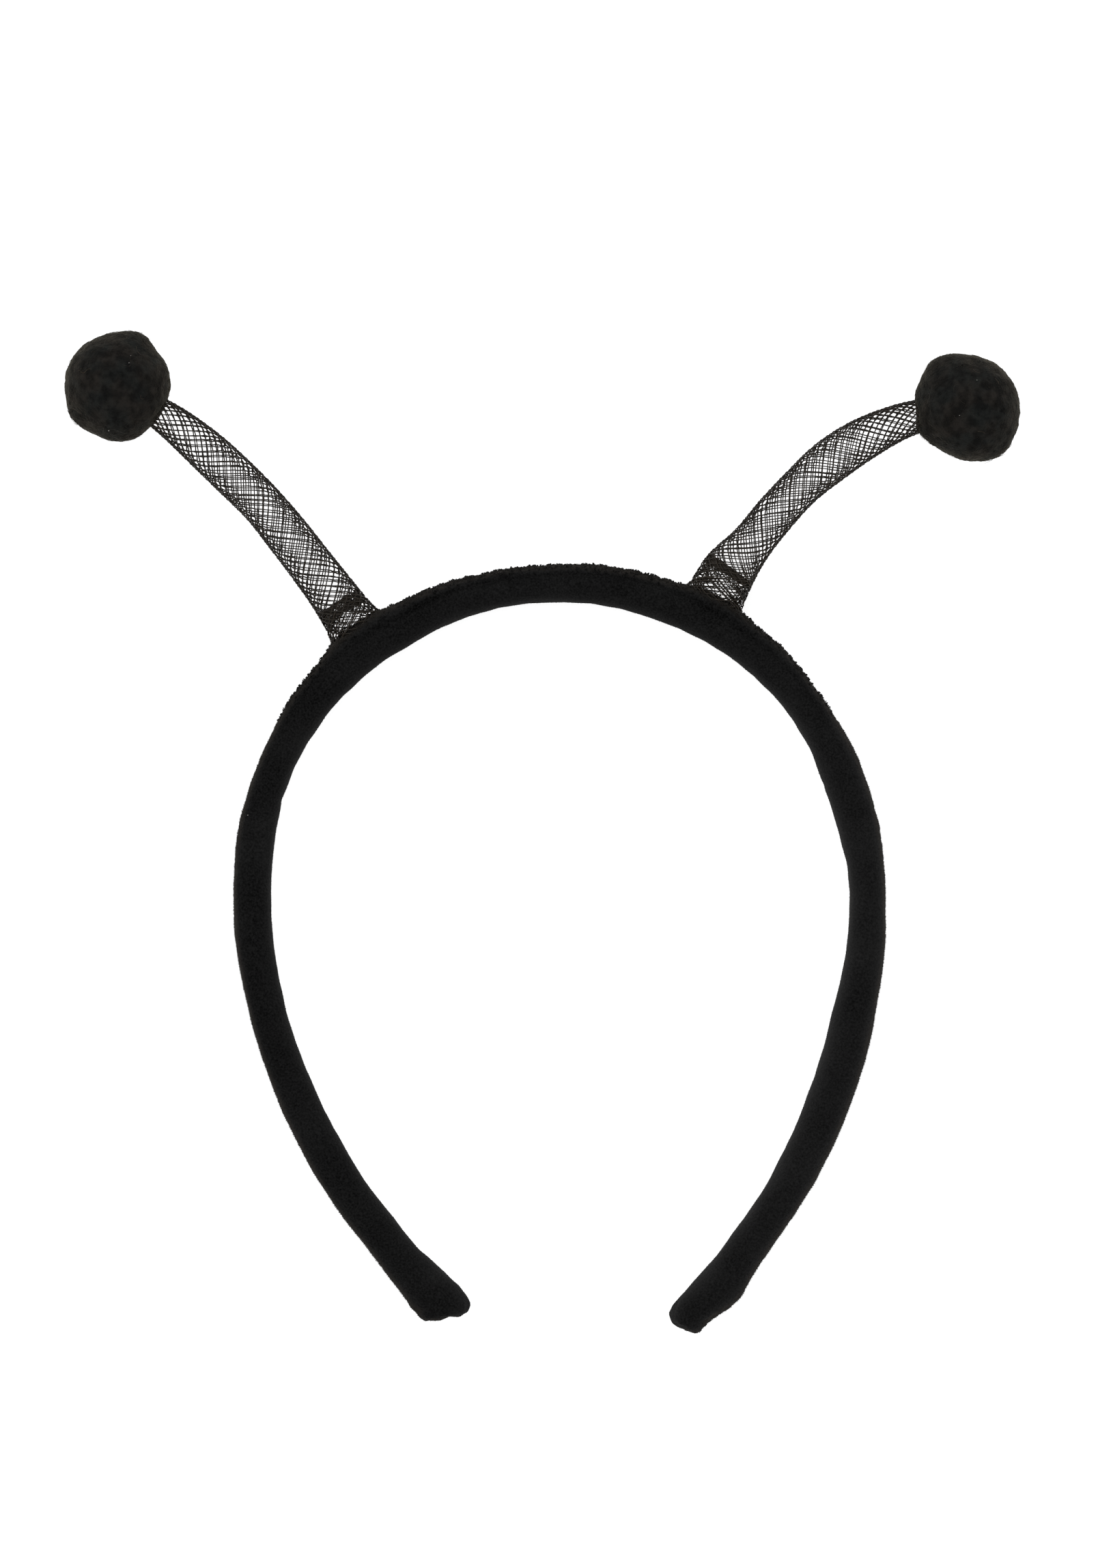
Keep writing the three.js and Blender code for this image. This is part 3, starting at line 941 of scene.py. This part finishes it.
worn = ramp(root_across, WORN_START, WORN_FULL)
worn *= ramp(crown_share(root_angles), 0.5, 1) * ramp(high_up(roots), 0, 0.4)
chosen = (worn > WORN_LEAST) & (rng.random(count) < TUFT_SHARE * worn)
picked = np.repeat(np.nonzero(chosen)[0], TUFT_HAIRS)
count = len(picked)
outward = facing[picked]
offset = rng.standard_normal((count, 3))
offset = 0.6 * (offset - outward * (offset * outward).sum(1)[:, None])
shorter = np.clip(1.1 - 0.3 * np.linalg.norm(offset, axis=1), 0.5, 1)
own_size = np.repeat(0.7 + 0.5 * rng.random(count // TUFT_HAIRS), TUFT_HAIRS)
tufts = hairs(
    "tufts",
    roots[picked] + TUFT_REACH * offset - TUFT_DEPTH * outward,
    outward,
    unit(outward + 0.3 * brushed[picked] + 0.15 * offset),
    np.zeros((count, 3)),
    TUFT_LENGTH * own_size * shorter,
    TUFT_WIDTH * (0.8 + 0.4 * rng.random(count)),
    tones[picked],
    stops=[(0, 1), (0.85, 0.85)],
)
# The tufts take the painted warm edge light too, some more than others.
rims = rims[picked] * (0.7 + 0.3 * rng.random(count))
paint(tufts, "rim", np.repeat(rims, len(tufts.vertices) // count))
new_piece("velvet_tufts", tufts, velvet)

# %% [markdown]
# ## Braided net
#
# Each antenna is a tube of braid: strands that wind round it in both directions and pass over and under
# each other. A net drawn on a smooth tube would lose what makes it a net, its open cells and the back
# seen through the front, so every strand is a real one.
#
# The route and the widths of each tube are the CAD model's own rows, in millimetres. The tube rises
# gently from the middle of the band to the middle of the pompom, and it is flattest at the band.

# %% Tube routes
# x, y and radius
ANTENNA_ROWS = {
    "left": [
        (-39.2, 42.5, 6.0), (-44.5, 50.3, 5.2), (-49.6, 57.1, 4.9), (-54.7, 63.7, 4.8), (-60.0, 70.1, 4.6),
        (-65.8, 75.9, 4.65), (-71.8, 81.5, 4.5), (-78.1, 86.8, 3.9), (-83.9, 90.9, 3.2),
    ],
    "right": [
        (36.2, 48.6, 6.1), (39.8, 55.5, 5.85), (44.8, 61.8, 4.6), (49.9, 68.1, 4.45), (55.4, 74.0, 4.4),
        (61.5, 79.3, 4.8), (68.4, 83.9, 4.6), (76.1, 87.6, 3.9), (83.1, 89.7, 3.3),
    ],
}
ROOT_HEIGHT = 6.0
POMPOM_HEIGHT = 10.9
TUBE_FLATNESS = 0.94
ROOT_FLATNESS = 0.66
ROOT_LENGTH = 0.2
FINE_STEPS = 800
LOOK_AHEAD = 0.002


class Tube:
    """An antenna's tube: points on it at a share of its length, a turn round it and a lift off it."""

    def __init__(self, side):
        rows = np.array(ANTENNA_ROWS[side])
        share = np.linspace(0, 1, len(rows))
        eased = share**3 * (share * (6 * share - 15) + 10)
        heights = ROOT_HEIGHT + (POMPOM_HEIGHT - ROOT_HEIGHT) * eased
        self.rows = np.column_stack([rows[:, 0], rows[:, 1], heights, rows[:, 2]]) * MM
        self.fine = np.linspace(0, 1, FINE_STEPS)
        steps = np.linalg.norm(np.diff(self.centres(self.fine), axis=0), axis=1)
        self.lengths = np.concatenate([[0], np.cumsum(steps)])

    def centres(self, shares):
        return smooth_rows(self.rows, shares)[:, :3]

    def at(self, shares, turns, lifts):
        """Points and outward directions. The three arguments are arrays of one shape."""
        flat = np.ravel(shares)
        found = smooth_rows(self.rows, flat)
        along = unit(self.centres(flat + LOOK_AHEAD) - self.centres(flat - LOOK_AHEAD))
        sideways = unit(np.cross((0.0, 0.0, 1.0), along))
        upward = np.cross(along, sideways)
        angle = 2 * math.pi * np.ravel(turns)
        size = (found[:, 3] + np.ravel(lifts))[:, None]
        flatness = TUBE_FLATNESS + (ROOT_FLATNESS - TUBE_FLATNESS) * ramp(flat, ROOT_LENGTH, 0) ** 2
        outward = np.cos(angle)[:, None] * sideways + (flatness * np.sin(angle))[:, None] * upward
        points = found[:, :3] + size * outward
        shape = (*np.shape(shares), 3)
        return points.reshape(shape), unit(outward).reshape(shape)


tubes = {side: Tube(side) for side in ANTENNA_ROWS}
for side, tube in tubes.items():
    print(f"{side} tube: {tube.lengths[-1] / MM:.1f} mm long")

# %% [markdown]
# A strand is a thin tube swept along a line of points, with four sides and closed ends. On the map,
# each strand has a row of its own.

# %% Strands
STRAND_SIDES = 4
ROW_MARGIN = 0.05
ROW_SHARE = 0.9
CAP_SHARE = 0.3


def strand_places(count, length):
    """Places on the map for the walls of all strands, then for their starts and for their ends."""
    strand, place, side = np.meshgrid(
        np.arange(count), np.arange(length - 1), np.arange(STRAND_SIDES), indexing="ij"
    )
    low, high = place / length, (place + 1) / length
    bottom = (strand + ROW_MARGIN + ROW_SHARE * side / STRAND_SIDES) / count
    top = (strand + ROW_MARGIN + ROW_SHARE * (side + 1) / STRAND_SIDES) / count
    walls = np.stack([low, bottom, high, bottom, high, top, low, top], axis=-1).reshape(-1, 4, 2)
    cap_size = CAP_SHARE / max(count, length)
    cap_across = np.full(count, 1 - ROW_SHARE / length)
    cap_up = (np.arange(count) + CAP_SHARE) / count
    square = np.array([(0.0, 0.0), (1.0, 0.0), (1.0, 1.0), (0.0, 1.0)])
    starts = np.stack([cap_across, cap_up], axis=1)[:, None, :] + cap_size * square
    ends = starts + (1.5 * cap_size, 0.0)
    return np.concatenate([walls, starts, ends])


def strands(name, lines, outward, radius, tones):
    """Joined strands along lines (strand, point, xyz), with the outward direction at each point."""
    along = unit(np.gradient(lines, axis=1))
    beside = unit(np.cross(along, outward))
    off = np.cross(beside, along)
    rings = []
    for side in range(STRAND_SIDES):
        turn = 2 * math.pi * (side + 0.5) / STRAND_SIDES
        rings.append(lines + radius * (math.cos(turn) * off + math.sin(turn) * beside))
    points = np.stack(rings, axis=2)

    number = np.arange(points[..., 0].size).reshape(points.shape[:3])
    after = np.roll(number, -1, axis=2)
    walls = np.stack([number[:, :-1], number[:, 1:], after[:, 1:], after[:, :-1]], axis=-1)
    starts = number[:, :1, :]
    ends = number[:, -1:, ::-1]
    faces = np.concatenate([walls.reshape(-1, 4), starts.reshape(-1, 4), ends.reshape(-1, 4)])
    places = strand_places(*lines.shape[:2])
    point_tones = np.broadcast_to(tones[:, None, None], points.shape[:3])
    return joined_mesh(name, points.reshape(-1, 3), faces, places.reshape(-1, 2), point_tones.ravel())


# %% [markdown]
# The strands are stiff dark filaments with a slight gloss. Each has a tone of its own, and a fine grain
# roughens it.

# %% Net finish
THREAD_SIZE = 0.35 * MM
THREAD_DEPTH = 0.08 * MM
NET_DARK = grey(0.0045, 0.3)
NET_PALE = grey(0.018, 0.36)

net = Finish("black_net", {"Specular IOR Level": 0.22})
thread = net.grain(THREAD_SIZE)
net_tone = 0.5 * net.painted("tone") + 0.5 * thread
net.feed("Base Color", net.blend(net_tone, NET_DARK, NET_PALE))
net.feed("Roughness", 0.45 + 0.25 * thread)
net.feed("Normal", net.bumps(thread, THREAD_DEPTH))
net.tell()

# %% [markdown]
# A strand keeps its length, so a braid that is spread wide has its strands lying more across, and one
# that is drawn in has them running more along the tube. The sine of the strands' angle to the tube
# grows with the tube's radius, up to the widest that the braid could open.
#
# Near the velvet the tube flares, because it is drawn over the band.

# %% Winding and flare
FLARE = 0.9 * MM
FLARE_HEIGHT = 1.3 * MM
FLARE_WAY = (1.0, 1.0, 0.2)
BRAID_WIDEST = 6.5 * MM


def braid_turns(tube, widest):
    """How many turns a strand has made round the tube at each of its fine shares."""
    radius = smooth_rows(tube.rows, tube.fine)[:, 3]
    per_length = 1 / (2 * math.pi * np.sqrt(widest**2 - radius**2))
    steps = np.diff(tube.lengths) * (per_length[1:] + per_length[:-1]) / 2
    return np.concatenate([[0], np.cumsum(steps)])


def flared(points, outward):
    """Spreads the foot of a tube along the band, more the nearer it is to the velvet."""
    offset, _, thickness = beside_band(points)
    height = np.maximum(offset - thickness / 2, 0)
    spread = FLARE * np.exp(-height / FLARE_HEIGHT)
    return points + outward * FLARE_WAY * spread[:, None]


for side, tube in tubes.items():
    print(f"a {side} strand makes {braid_turns(tube, BRAID_WIDEST)[-1]:.2f} turns round its tube")

# %% [markdown]
# Strands that cross must not run through each other, so a strand rises over one crossing and dips under
# the next, like a slow wave. All crossings of a braid lie on level rings, and strands of the other
# direction take the opposite wave. No braid is even: each strand strays a little, and more near the
# band, where the net is turned and sewn. The strands start inside the velvet and end inside the pompom,
# where they are sewn in.

# %% Braid
STRANDS_EACH_WAY = 18
STRAND_RADIUS = 0.145 * MM
POINTS_PER_CROSSING = 3
ROOT_STRAY = 3.5
ROOT_STRAY_LENGTH = 7.0 * MM
OWN_STRAY = 0.6
NOISE_APART = 3.7


def braid(tube, widest, start, end, lift, rng, wander, ripple):
    """Lines and outward directions of all the strands, between two lengths along the tube."""
    turned = braid_turns(tube, widest)
    first, last = np.interp([start, end], tube.lengths, turned)
    crossings = (last - first) * 2 * STRANDS_EACH_WAY
    turns = np.linspace(first, last, round(crossings * POINTS_PER_CROSSING) + 1)
    shares = np.interp(turns, turned, tube.fine)
    wave = STRAND_RADIUS * np.cos(2 * math.pi * STRANDS_EACH_WAY * turns)
    from_root = np.interp(shares, tube.fine, tube.lengths)
    wander = wander * (1 + ROOT_STRAY * bell(from_root, ROOT_STRAY_LENGTH))
    lines, outward = [], []
    for way in (1, -1):
        for k in range(STRANDS_EACH_WAY):
            own_place = np.full((len(turns), 2), NOISE_APART * way * (k + 1))
            spots = np.column_stack([ripple * turns, own_place])
            stray = wander * (lumps(spots, 1.0, 3) + OWN_STRAY * rng.standard_normal())
            line, facing = tube.at(shares, k / STRANDS_EACH_WAY + way * turns + stray, lift + way * wave)
            lines.append(flared(line, facing))
            outward.append(facing)
    return np.array(lines), np.array(outward)


# %% Net strands
NET_SEED = 21
STRAND_STRAY = 0.009
STRAND_RIPPLE = 2.0

for number, (side, tube) in enumerate(tubes.items()):
    rng = np.random.default_rng(NET_SEED + number)
    whole = tube.lengths[-1]
    lines, outward = braid(tube, BRAID_WIDEST, 0, whole, -STRAND_RADIUS, rng, STRAND_STRAY, STRAND_RIPPLE)
    mesh = strands(f"{side}_strands", lines, outward, STRAND_RADIUS, rng.random(len(lines)))
    piece = new_piece(f"{side}_net_strands", mesh, net)
    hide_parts(f"{side}_antenna_net")

# %% [markdown]
# ## Turned hems
#
# At the band the net's cut end is turned inside the tube. The raw edge is bunched into an uneven dark
# ring, which is made of loops of strand. It lies on a slant, nearer to the band on its upper side.

# %% Hem rings
HEMS = {
    "left": {"height": 6.9, "slant": 1.1, "spread": 1.0, "loops": 20, "loose": 40},
    "right": {"height": 8.1, "slant": 0.6, "spread": 0.58, "loops": 30, "loose": 28},
}
HEM_DEPTH = 0.5 * MM
RING_POINTS = 90
RING_TURNS = 1.01
RING_RIPPLE = 2.5
LOOP_APART = 4.3
LOOP_TURN = 0.037


def hem_height(hem, turns):
    """How far along the tube the hem's ring lies, at turns round it."""
    return (hem["height"] - hem["slant"] * np.sin(2 * math.pi * turns)) * MM


def hem_ring(tube, hem, seed):
    """Loops of strand bunched together round the tube."""
    turns = np.tile(np.linspace(0, RING_TURNS, RING_POINTS), (hem["loops"], 1))
    loop = np.arange(hem["loops"])[:, None] + np.zeros_like(turns)
    circle = 2 * math.pi * turns.ravel()
    rounds = [RING_RIPPLE * np.cos(circle), RING_RIPPLE * np.sin(circle)]
    spots = np.column_stack([*rounds, LOOP_APART * loop.ravel()])
    up_down = lumps(spots, 1.0, seed).reshape(turns.shape)
    in_out = lumps(spots, 1.0, seed + 1).reshape(turns.shape)
    spread = hem["spread"] * MM
    shares = np.interp(hem_height(hem, turns) + spread * up_down, tube.lengths, tube.fine)
    return tube.at(shares, turns + LOOP_TURN * loop, -HEM_DEPTH - STRAND_RADIUS + 0.5 * spread * in_out)


for side, hem in HEMS.items():
    print(f"{side} hem: {hem['loops']} loops, {hem['height']} mm along the tube")

# %% [markdown]
# Cut strands spring loose from the ring and cross the inside of the tube every way, on their way back
# to the band.

# %% Loose ends
LOOSE_POINTS = 14
LOOSE_TURN = 0.17
LOOSE_SWAY = 0.4
LOOSE_DEPTH = 1.2


def loose_ends(tube, hem, rng):
    """Cut strands that leave the ring and run over the inside of the tube, towards the band."""
    column = (hem["loose"], 1)
    along = np.linspace(0, 1, LOOSE_POINTS)[None]
    turns = rng.random(column) + rng.normal(0, LOOSE_TURN, column) * along
    arch = np.sin(math.pi * along)
    stop = rng.uniform(0.1, 0.9, column)
    heights = hem_height(hem, turns) * (1 - (1 - stop) * along)
    heights = heights + rng.normal(0, LOOSE_SWAY, column) * MM * arch
    shares = np.interp(heights, tube.lengths, tube.fine)
    depth = -HEM_DEPTH - rng.uniform(0.0, LOOSE_DEPTH, column) * MM * arch
    return tube.at(shares, turns, depth)


# %% [markdown]
# The turned part is a second layer, which shows through the first as a tangle. It was pulled lengthwise
# when it was turned, so its strands run more along the tube than those of the first, and stray further.
# Less than half of them are kept, which is as dense as the layer looks.

# %% Turned net
HEM_SEED = 31
RING_SEED = 40
TURNED_STRAY = 0.08
TURNED_RIPPLE = 6.0
TURNED_WIDEST = 10.0 * MM
TURNED_SHARE = 0.45
TURNED_RADIUS = 0.1 * MM

for number, (side, hem) in enumerate(HEMS.items()):
    tube = tubes[side]
    rng = np.random.default_rng(HEM_SEED + number)
    layer_end = (hem["height"] - hem["slant"]) * MM
    depth = -HEM_DEPTH - 2 * STRAND_RADIUS
    lines, outward = braid(tube, TURNED_WIDEST, 0, layer_end, depth, rng, TURNED_STRAY, TURNED_RIPPLE)
    kept = rng.random(len(lines)) < TURNED_SHARE
    lining = strands(f"{side}_lining", lines[kept], outward[kept], TURNED_RADIUS, rng.random(kept.sum()))
    new_piece(f"{side}_turned_net", lining, net)
    ring_tones = rng.random(hem["loops"])
    ring = strands(f"{side}_ring", *hem_ring(tube, hem, RING_SEED + 2 * number), STRAND_RADIUS, ring_tones)
    new_piece(f"{side}_hem_ring", ring, net)
    ends = loose_ends(tube, hem, rng)
    frayed = strands(f"{side}_frayed", *ends, TURNED_RADIUS, rng.random(hem["loose"]))
    new_piece(f"{side}_loose_ends", frayed, net)

# %% [markdown]
# ## Pompoms
#
# A pompom is a bundle of yarn, clipped to a ball and felted until its surface is one soft skin of short
# crossed fibres. It is made in three layers: a lumpy core that stops light, a dense cover of short bent
# fibres that lie every way, and a few long stray hairs. The broad lumps of the outline come from a
# short list of swellings, each with its direction round the ball in degrees and its height in
# millimetres. Three sizes of finer lumps are the same all over.

# %% Pompom cores
POMPOM_CENTRES = {"left": (-91.2, 95.6), "right": (91.1, 91.0)}
CORE_RADIUS = {"left": 11.1 * MM, "right": 10.9 * MM}
CORE_SEED = 70
CORE_FLOOR = 0.35 * MM
SWELLING_RISE = 0.1
SWELLINGS = {
    "left": [
        {"angle": 10, "height": 0.45, "width": 30},
        {"angle": 67, "height": 1.1, "width": 18},
        {"angle": 217, "height": 0.75, "width": 16},
        {"angle": 278, "height": 1.0, "width": 32},
    ],
    "right": [
        {"angle": 127, "height": 1.6, "width": 26},
        {"angle": 168, "height": 0.6, "width": 11},
        {"angle": 206, "height": 0.9, "width": 16},
        {"angle": 302, "height": 1.5, "width": 34},
    ],
}
CORE_LUMPS = [
    {"depth": 0.22, "size": 0.35},
    {"depth": 0.16, "size": 0.13},
    {"depth": 0.24, "size": 0.075},
]


def pompom_core(side, seed):
    """A lumpy closed ball, pressed a little flat where it rests on the floor."""
    shape = bmesh.new()
    bmesh.ops.create_icosphere(shape, subdivisions=5, radius=1.0)
    mesh = mesh_from(shape, f"{side}_core")
    ways = positions(mesh)
    radius = np.full(len(ways), CORE_RADIUS[side])
    for swelling in SWELLINGS[side]:
        angle = math.radians(swelling["angle"])
        toward = ways @ np.array((math.cos(angle), math.sin(angle), SWELLING_RISE))
        apart = np.degrees(np.arccos(np.clip(toward, -1, 1)))
        radius += swelling["height"] * MM * bell(apart, swelling["width"])
    for number, layer in enumerate(CORE_LUMPS):
        radius += layer["depth"] * MM * lumps(ways, layer["size"], seed + number)
    x, y = POMPOM_CENTRES[side]
    points = ways * radius[:, None] + np.array((x, y, POMPOM_HEIGHT)) * MM
    points[:, 2] = np.maximum(points[:, 2], CORE_FLOOR)
    mesh.polygons.foreach_set("use_smooth", np.ones(len(mesh.polygons), bool))
    move_points(mesh, points)
    return mesh


core_meshes = {side: pompom_core(side, CORE_SEED + 10 * k) for k, side in enumerate(POMPOM_CENTRES)}
for side, core_mesh in core_meshes.items():
    print(f"{side} core: {np.ptp(positions(core_mesh), axis=0).round(4) / MM} mm")

# %% [markdown]
# The wool is matt and not quite black. It is a very dark brown with greenish patches, and finer pale
# patches run through both.

# %% Yarn finish
MOTTLE_SIZE = 5 * MM
PATCH_SIZE = 2.2 * MM
FUZZ_SIZE = 0.5 * MM
FUZZ_DEPTH = 0.2 * MM
BROWN_DARK = grey(0.0028, 0.04)
BROWN_PALE = grey(0.0215, 0.14)
GREEN_DARK = grey(0.0026, -0.04)
GREEN_PALE = (0.0172, 0.0190, 0.0178, 1.0)

yarn = Finish(
    "felted_yarn",
    {
        "Specular IOR Level": 0.05,
        "Sheen Weight": 0.095,
        "Sheen Roughness": 0.4,
        "Sheen Tint": (1.0, 0.88, 0.66, 1.0),
    },
)
mottle = yarn.spread(yarn.grain(MOTTLE_SIZE), 0.4, 0.62)
patch = yarn.spread(yarn.grain(PATCH_SIZE), 0.38, 0.62)
fuzz = yarn.grain(FUZZ_SIZE)
yarn_tone = 0.2 * fuzz + 0.4 * patch + 0.45 * yarn.painted("tone")
brown = yarn.blend(yarn_tone, BROWN_DARK, BROWN_PALE)
green = yarn.blend(yarn_tone, GREEN_DARK, GREEN_PALE)
yarn.feed("Base Color", yarn.blend(1 - mottle, brown, green))
yarn.feed("Roughness", 0.82 + 0.15 * fuzz)
yarn.feed("Normal", yarn.bumps(fuzz, FUZZ_DEPTH))
yarn.tell()

# %% [markdown]
# Felting lays the fibres down, so they follow the ball every way and lift a little at their tips.
# Together they make a soft, closed surface with small bumps. A few of them are lighter than the rest,
# which gives the felt its speckle.

# %% Pompom fibres
FELT_SEED = 61
FIBRE_COUNT = 15500
FIBRE_LENGTH = 1.7 * MM
FIBRE_WIDTH = 0.12 * MM
FIBRE_DEPTH = 0.15 * MM
FIBRE_LIFT = 0.1
FIBRE_CURL = 0.45
FIBRE_SINK = 0.14
SPECKLE_SIZE = 1.6 * MM

for number, side in enumerate(POMPOM_CENTRES):
    rng = np.random.default_rng(FELT_SEED + number)
    roots, facing = scatter(core_meshes[side], FIBRE_COUNT, rng)
    core = new_piece(f"{side}_pompom_core", core_meshes[side], yarn)
    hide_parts(f"{side}_pompom")
    any_way = rng.standard_normal((FIBRE_COUNT, 3))
    flat_way = unit(any_way - facing * (any_way * facing).sum(1)[:, None])
    rise = FIBRE_LIFT * (0.3 + 1.2 * rng.random(FIBRE_COUNT))
    aims = unit(flat_way + facing * rise[:, None])
    lengths = FIBRE_LENGTH * (0.5 + 0.8 * rng.random(FIBRE_COUNT))
    bend = rng.normal(0, FIBRE_CURL, FIBRE_COUNT)[:, None]
    droops = lengths[:, None] * (np.cross(facing, flat_way) * bend - FIBRE_SINK * facing)
    widths = FIBRE_WIDTH * (0.7 + 0.6 * rng.random(FIBRE_COUNT))
    speckle = 0.35 * lumps(roots, SPECKLE_SIZE, 77) + 0.28 * rng.standard_normal(FIBRE_COUNT)
    tones = np.clip(0.35 + speckle, 0, 1)
    feet = roots - FIBRE_DEPTH * facing
    stops = [(0, 1), (0.55, 0.85)]
    mesh = hairs(f"{side}_felt", feet, facing, aims, droops, lengths, widths, tones, stops)
    new_piece(f"{side}_pompom_fibres", mesh, yarn)

# %% [markdown]
# A few long hairs have worked loose and lie in curls on the felt. They are thinner than the net's
# strands and browner than the wool, so they have a finish of their own.

# %% Stray hair finish
STRAY_PATCH = 1.0 * MM
STRAY_DARK = (0.006, 0.005, 0.004, 1.0)
STRAY_BROWN = (0.06, 0.038, 0.018, 1.0)

stray = Finish("stray_hair", {"Specular IOR Level": 0.3, "Roughness": 0.5})
stray_tone = 0.7 * stray.painted("tone") + 0.3 * stray.grain(STRAY_PATCH)
stray.feed("Base Color", stray.blend(stray_tone, STRAY_DARK, STRAY_BROWN))
stray.tell()

# %% [markdown]
# Each stray hair is a thin strand along a bent line. The line is level in the middle and falls away to
# both ends as the ball does, so that the hair hovers just above the core.

# %% Stray hairs
STRAY_SEED = 81
STRAY_COUNT = 30
STRAY_POINTS = 17
STRAY_LENGTH = 2.2 * MM
STRAY_RADIUS = 0.022 * MM
STRAY_HEIGHT = 0.24 * MM
STRAY_BEND = 0.9
STRAY_SWAY = 0.07
STRAY_WAVES = 8

for number, side in enumerate(POMPOM_CENTRES):
    rng = np.random.default_rng(STRAY_SEED + number)
    roots, facing = scatter(core_meshes[side], STRAY_COUNT, rng)
    any_way = rng.standard_normal((STRAY_COUNT, 3))
    ahead = unit(np.cross(facing, any_way))
    beside = np.cross(facing, ahead)
    each = (STRAY_COUNT, 1, 1)
    along = np.linspace(-0.5, 0.5, STRAY_POINTS)[None, :, None]
    length = STRAY_LENGTH * (0.5 + rng.random(each))
    bend = rng.normal(0, STRAY_BEND, each)
    sway = rng.normal(0, STRAY_SWAY, each) * np.sin(STRAY_WAVES * along + rng.uniform(0, 6, each))
    fall = length**2 * along**2 / (2 * CORE_RADIUS[side])
    lift = STRAY_HEIGHT * (0.6 + rng.random(each) * (0.5 + along)) - fall
    aside = bend * along**2 + sway
    lines = roots[:, None] + length * (along * ahead[:, None] + aside * beside[:, None])
    lines += lift * facing[:, None]
    lines[:, :, 2] = np.maximum(lines[:, :, 2], 2 * STRAY_RADIUS)
    outward = np.broadcast_to(facing[:, None], lines.shape)
    mesh = strands(f"{side}_stray", lines, outward, STRAY_RADIUS, rng.random(STRAY_COUNT) ** 2)
    new_piece(f"{side}_stray_hairs", mesh, stray)

# %% [markdown]
# ## Lint
#
# Wool and velvet gather lint. A handful of pale specks sit on the pompoms and one side of the band,
# placed as they lie in the picture. A ray from above finds the surface under each, and a small
# flattened ball is set on it. The table is in millimetres.

# %% Lint
LINT = [
    {"x": -88.0, "y": 101.6, "size": 0.2, "on": "left_pompom_core"},
    {"x": -88.4, "y": 100.1, "size": 0.24, "on": "left_pompom_core"},
    {"x": -92.6, "y": 86.0, "size": 0.34, "on": "left_pompom_core"},
    {"x": -95.5, "y": 85.4, "size": 0.18, "on": "left_pompom_core"},
    {"x": 92.8, "y": 96.4, "size": 0.22, "on": "right_pompom_core"},
    {"x": 89.1, "y": 89.0, "size": 0.2, "on": "right_pompom_core"},
    {"x": -62.9, "y": 3.5, "size": 0.3, "on": "velvet_skin"},
]
LINT_RISE = 0.35 * MM
LINT_SHAPE = (1.0, 0.7, 0.5)
LINT_PATCH = 0.2 * MM
LINT_GREY = (0.10, 0.095, 0.09, 1.0)
LINT_PALE = (0.34, 0.33, 0.31, 1.0)
RAY_HEIGHT = 0.1
DOWN = Vector((0.0, 0.0, -1.0))

lint = Finish("lint", {"Specular IOR Level": 0.1, "Roughness": 0.9})
lint.feed("Base Color", lint.blend(lint.grain(LINT_PATCH), LINT_GREY, LINT_PALE))

bpy.context.view_layer.update()
shape = bmesh.new()
for speck in LINT:
    above = Vector((speck["x"] * MM, speck["y"] * MM, RAY_HEIGHT))
    _, place, facing, _ = bpy.data.objects[speck["on"]].ray_cast(above, DOWN)
    ball = bmesh.ops.create_icosphere(shape, subdivisions=1, radius=speck["size"] * MM / 2)["verts"]
    bmesh.ops.scale(shape, verts=ball, vec=LINT_SHAPE)
    bmesh.ops.translate(shape, verts=ball, vec=place + facing * LINT_RISE)
new_piece("lint_specks", mesh_from(shape, "lint"), lint)

# %% [markdown]
# ## Size
#
# The looks stand a little proud of the CAD model. Both boxes are printed, in millimetres, so that they
# can be compared.

# %% Size
made_low, made_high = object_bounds()
boxes = {"cad": [list(cad_low), list(cad_high)], "visual": [list(made_low), list(made_high)]}
print("all pieces:", sum(triangle_counts.values()), "triangles")
for name, (low, high) in boxes.items():
    print(name, "box in mm:", [round((b - a) / MM, 2) for a, b in zip(low, high)])
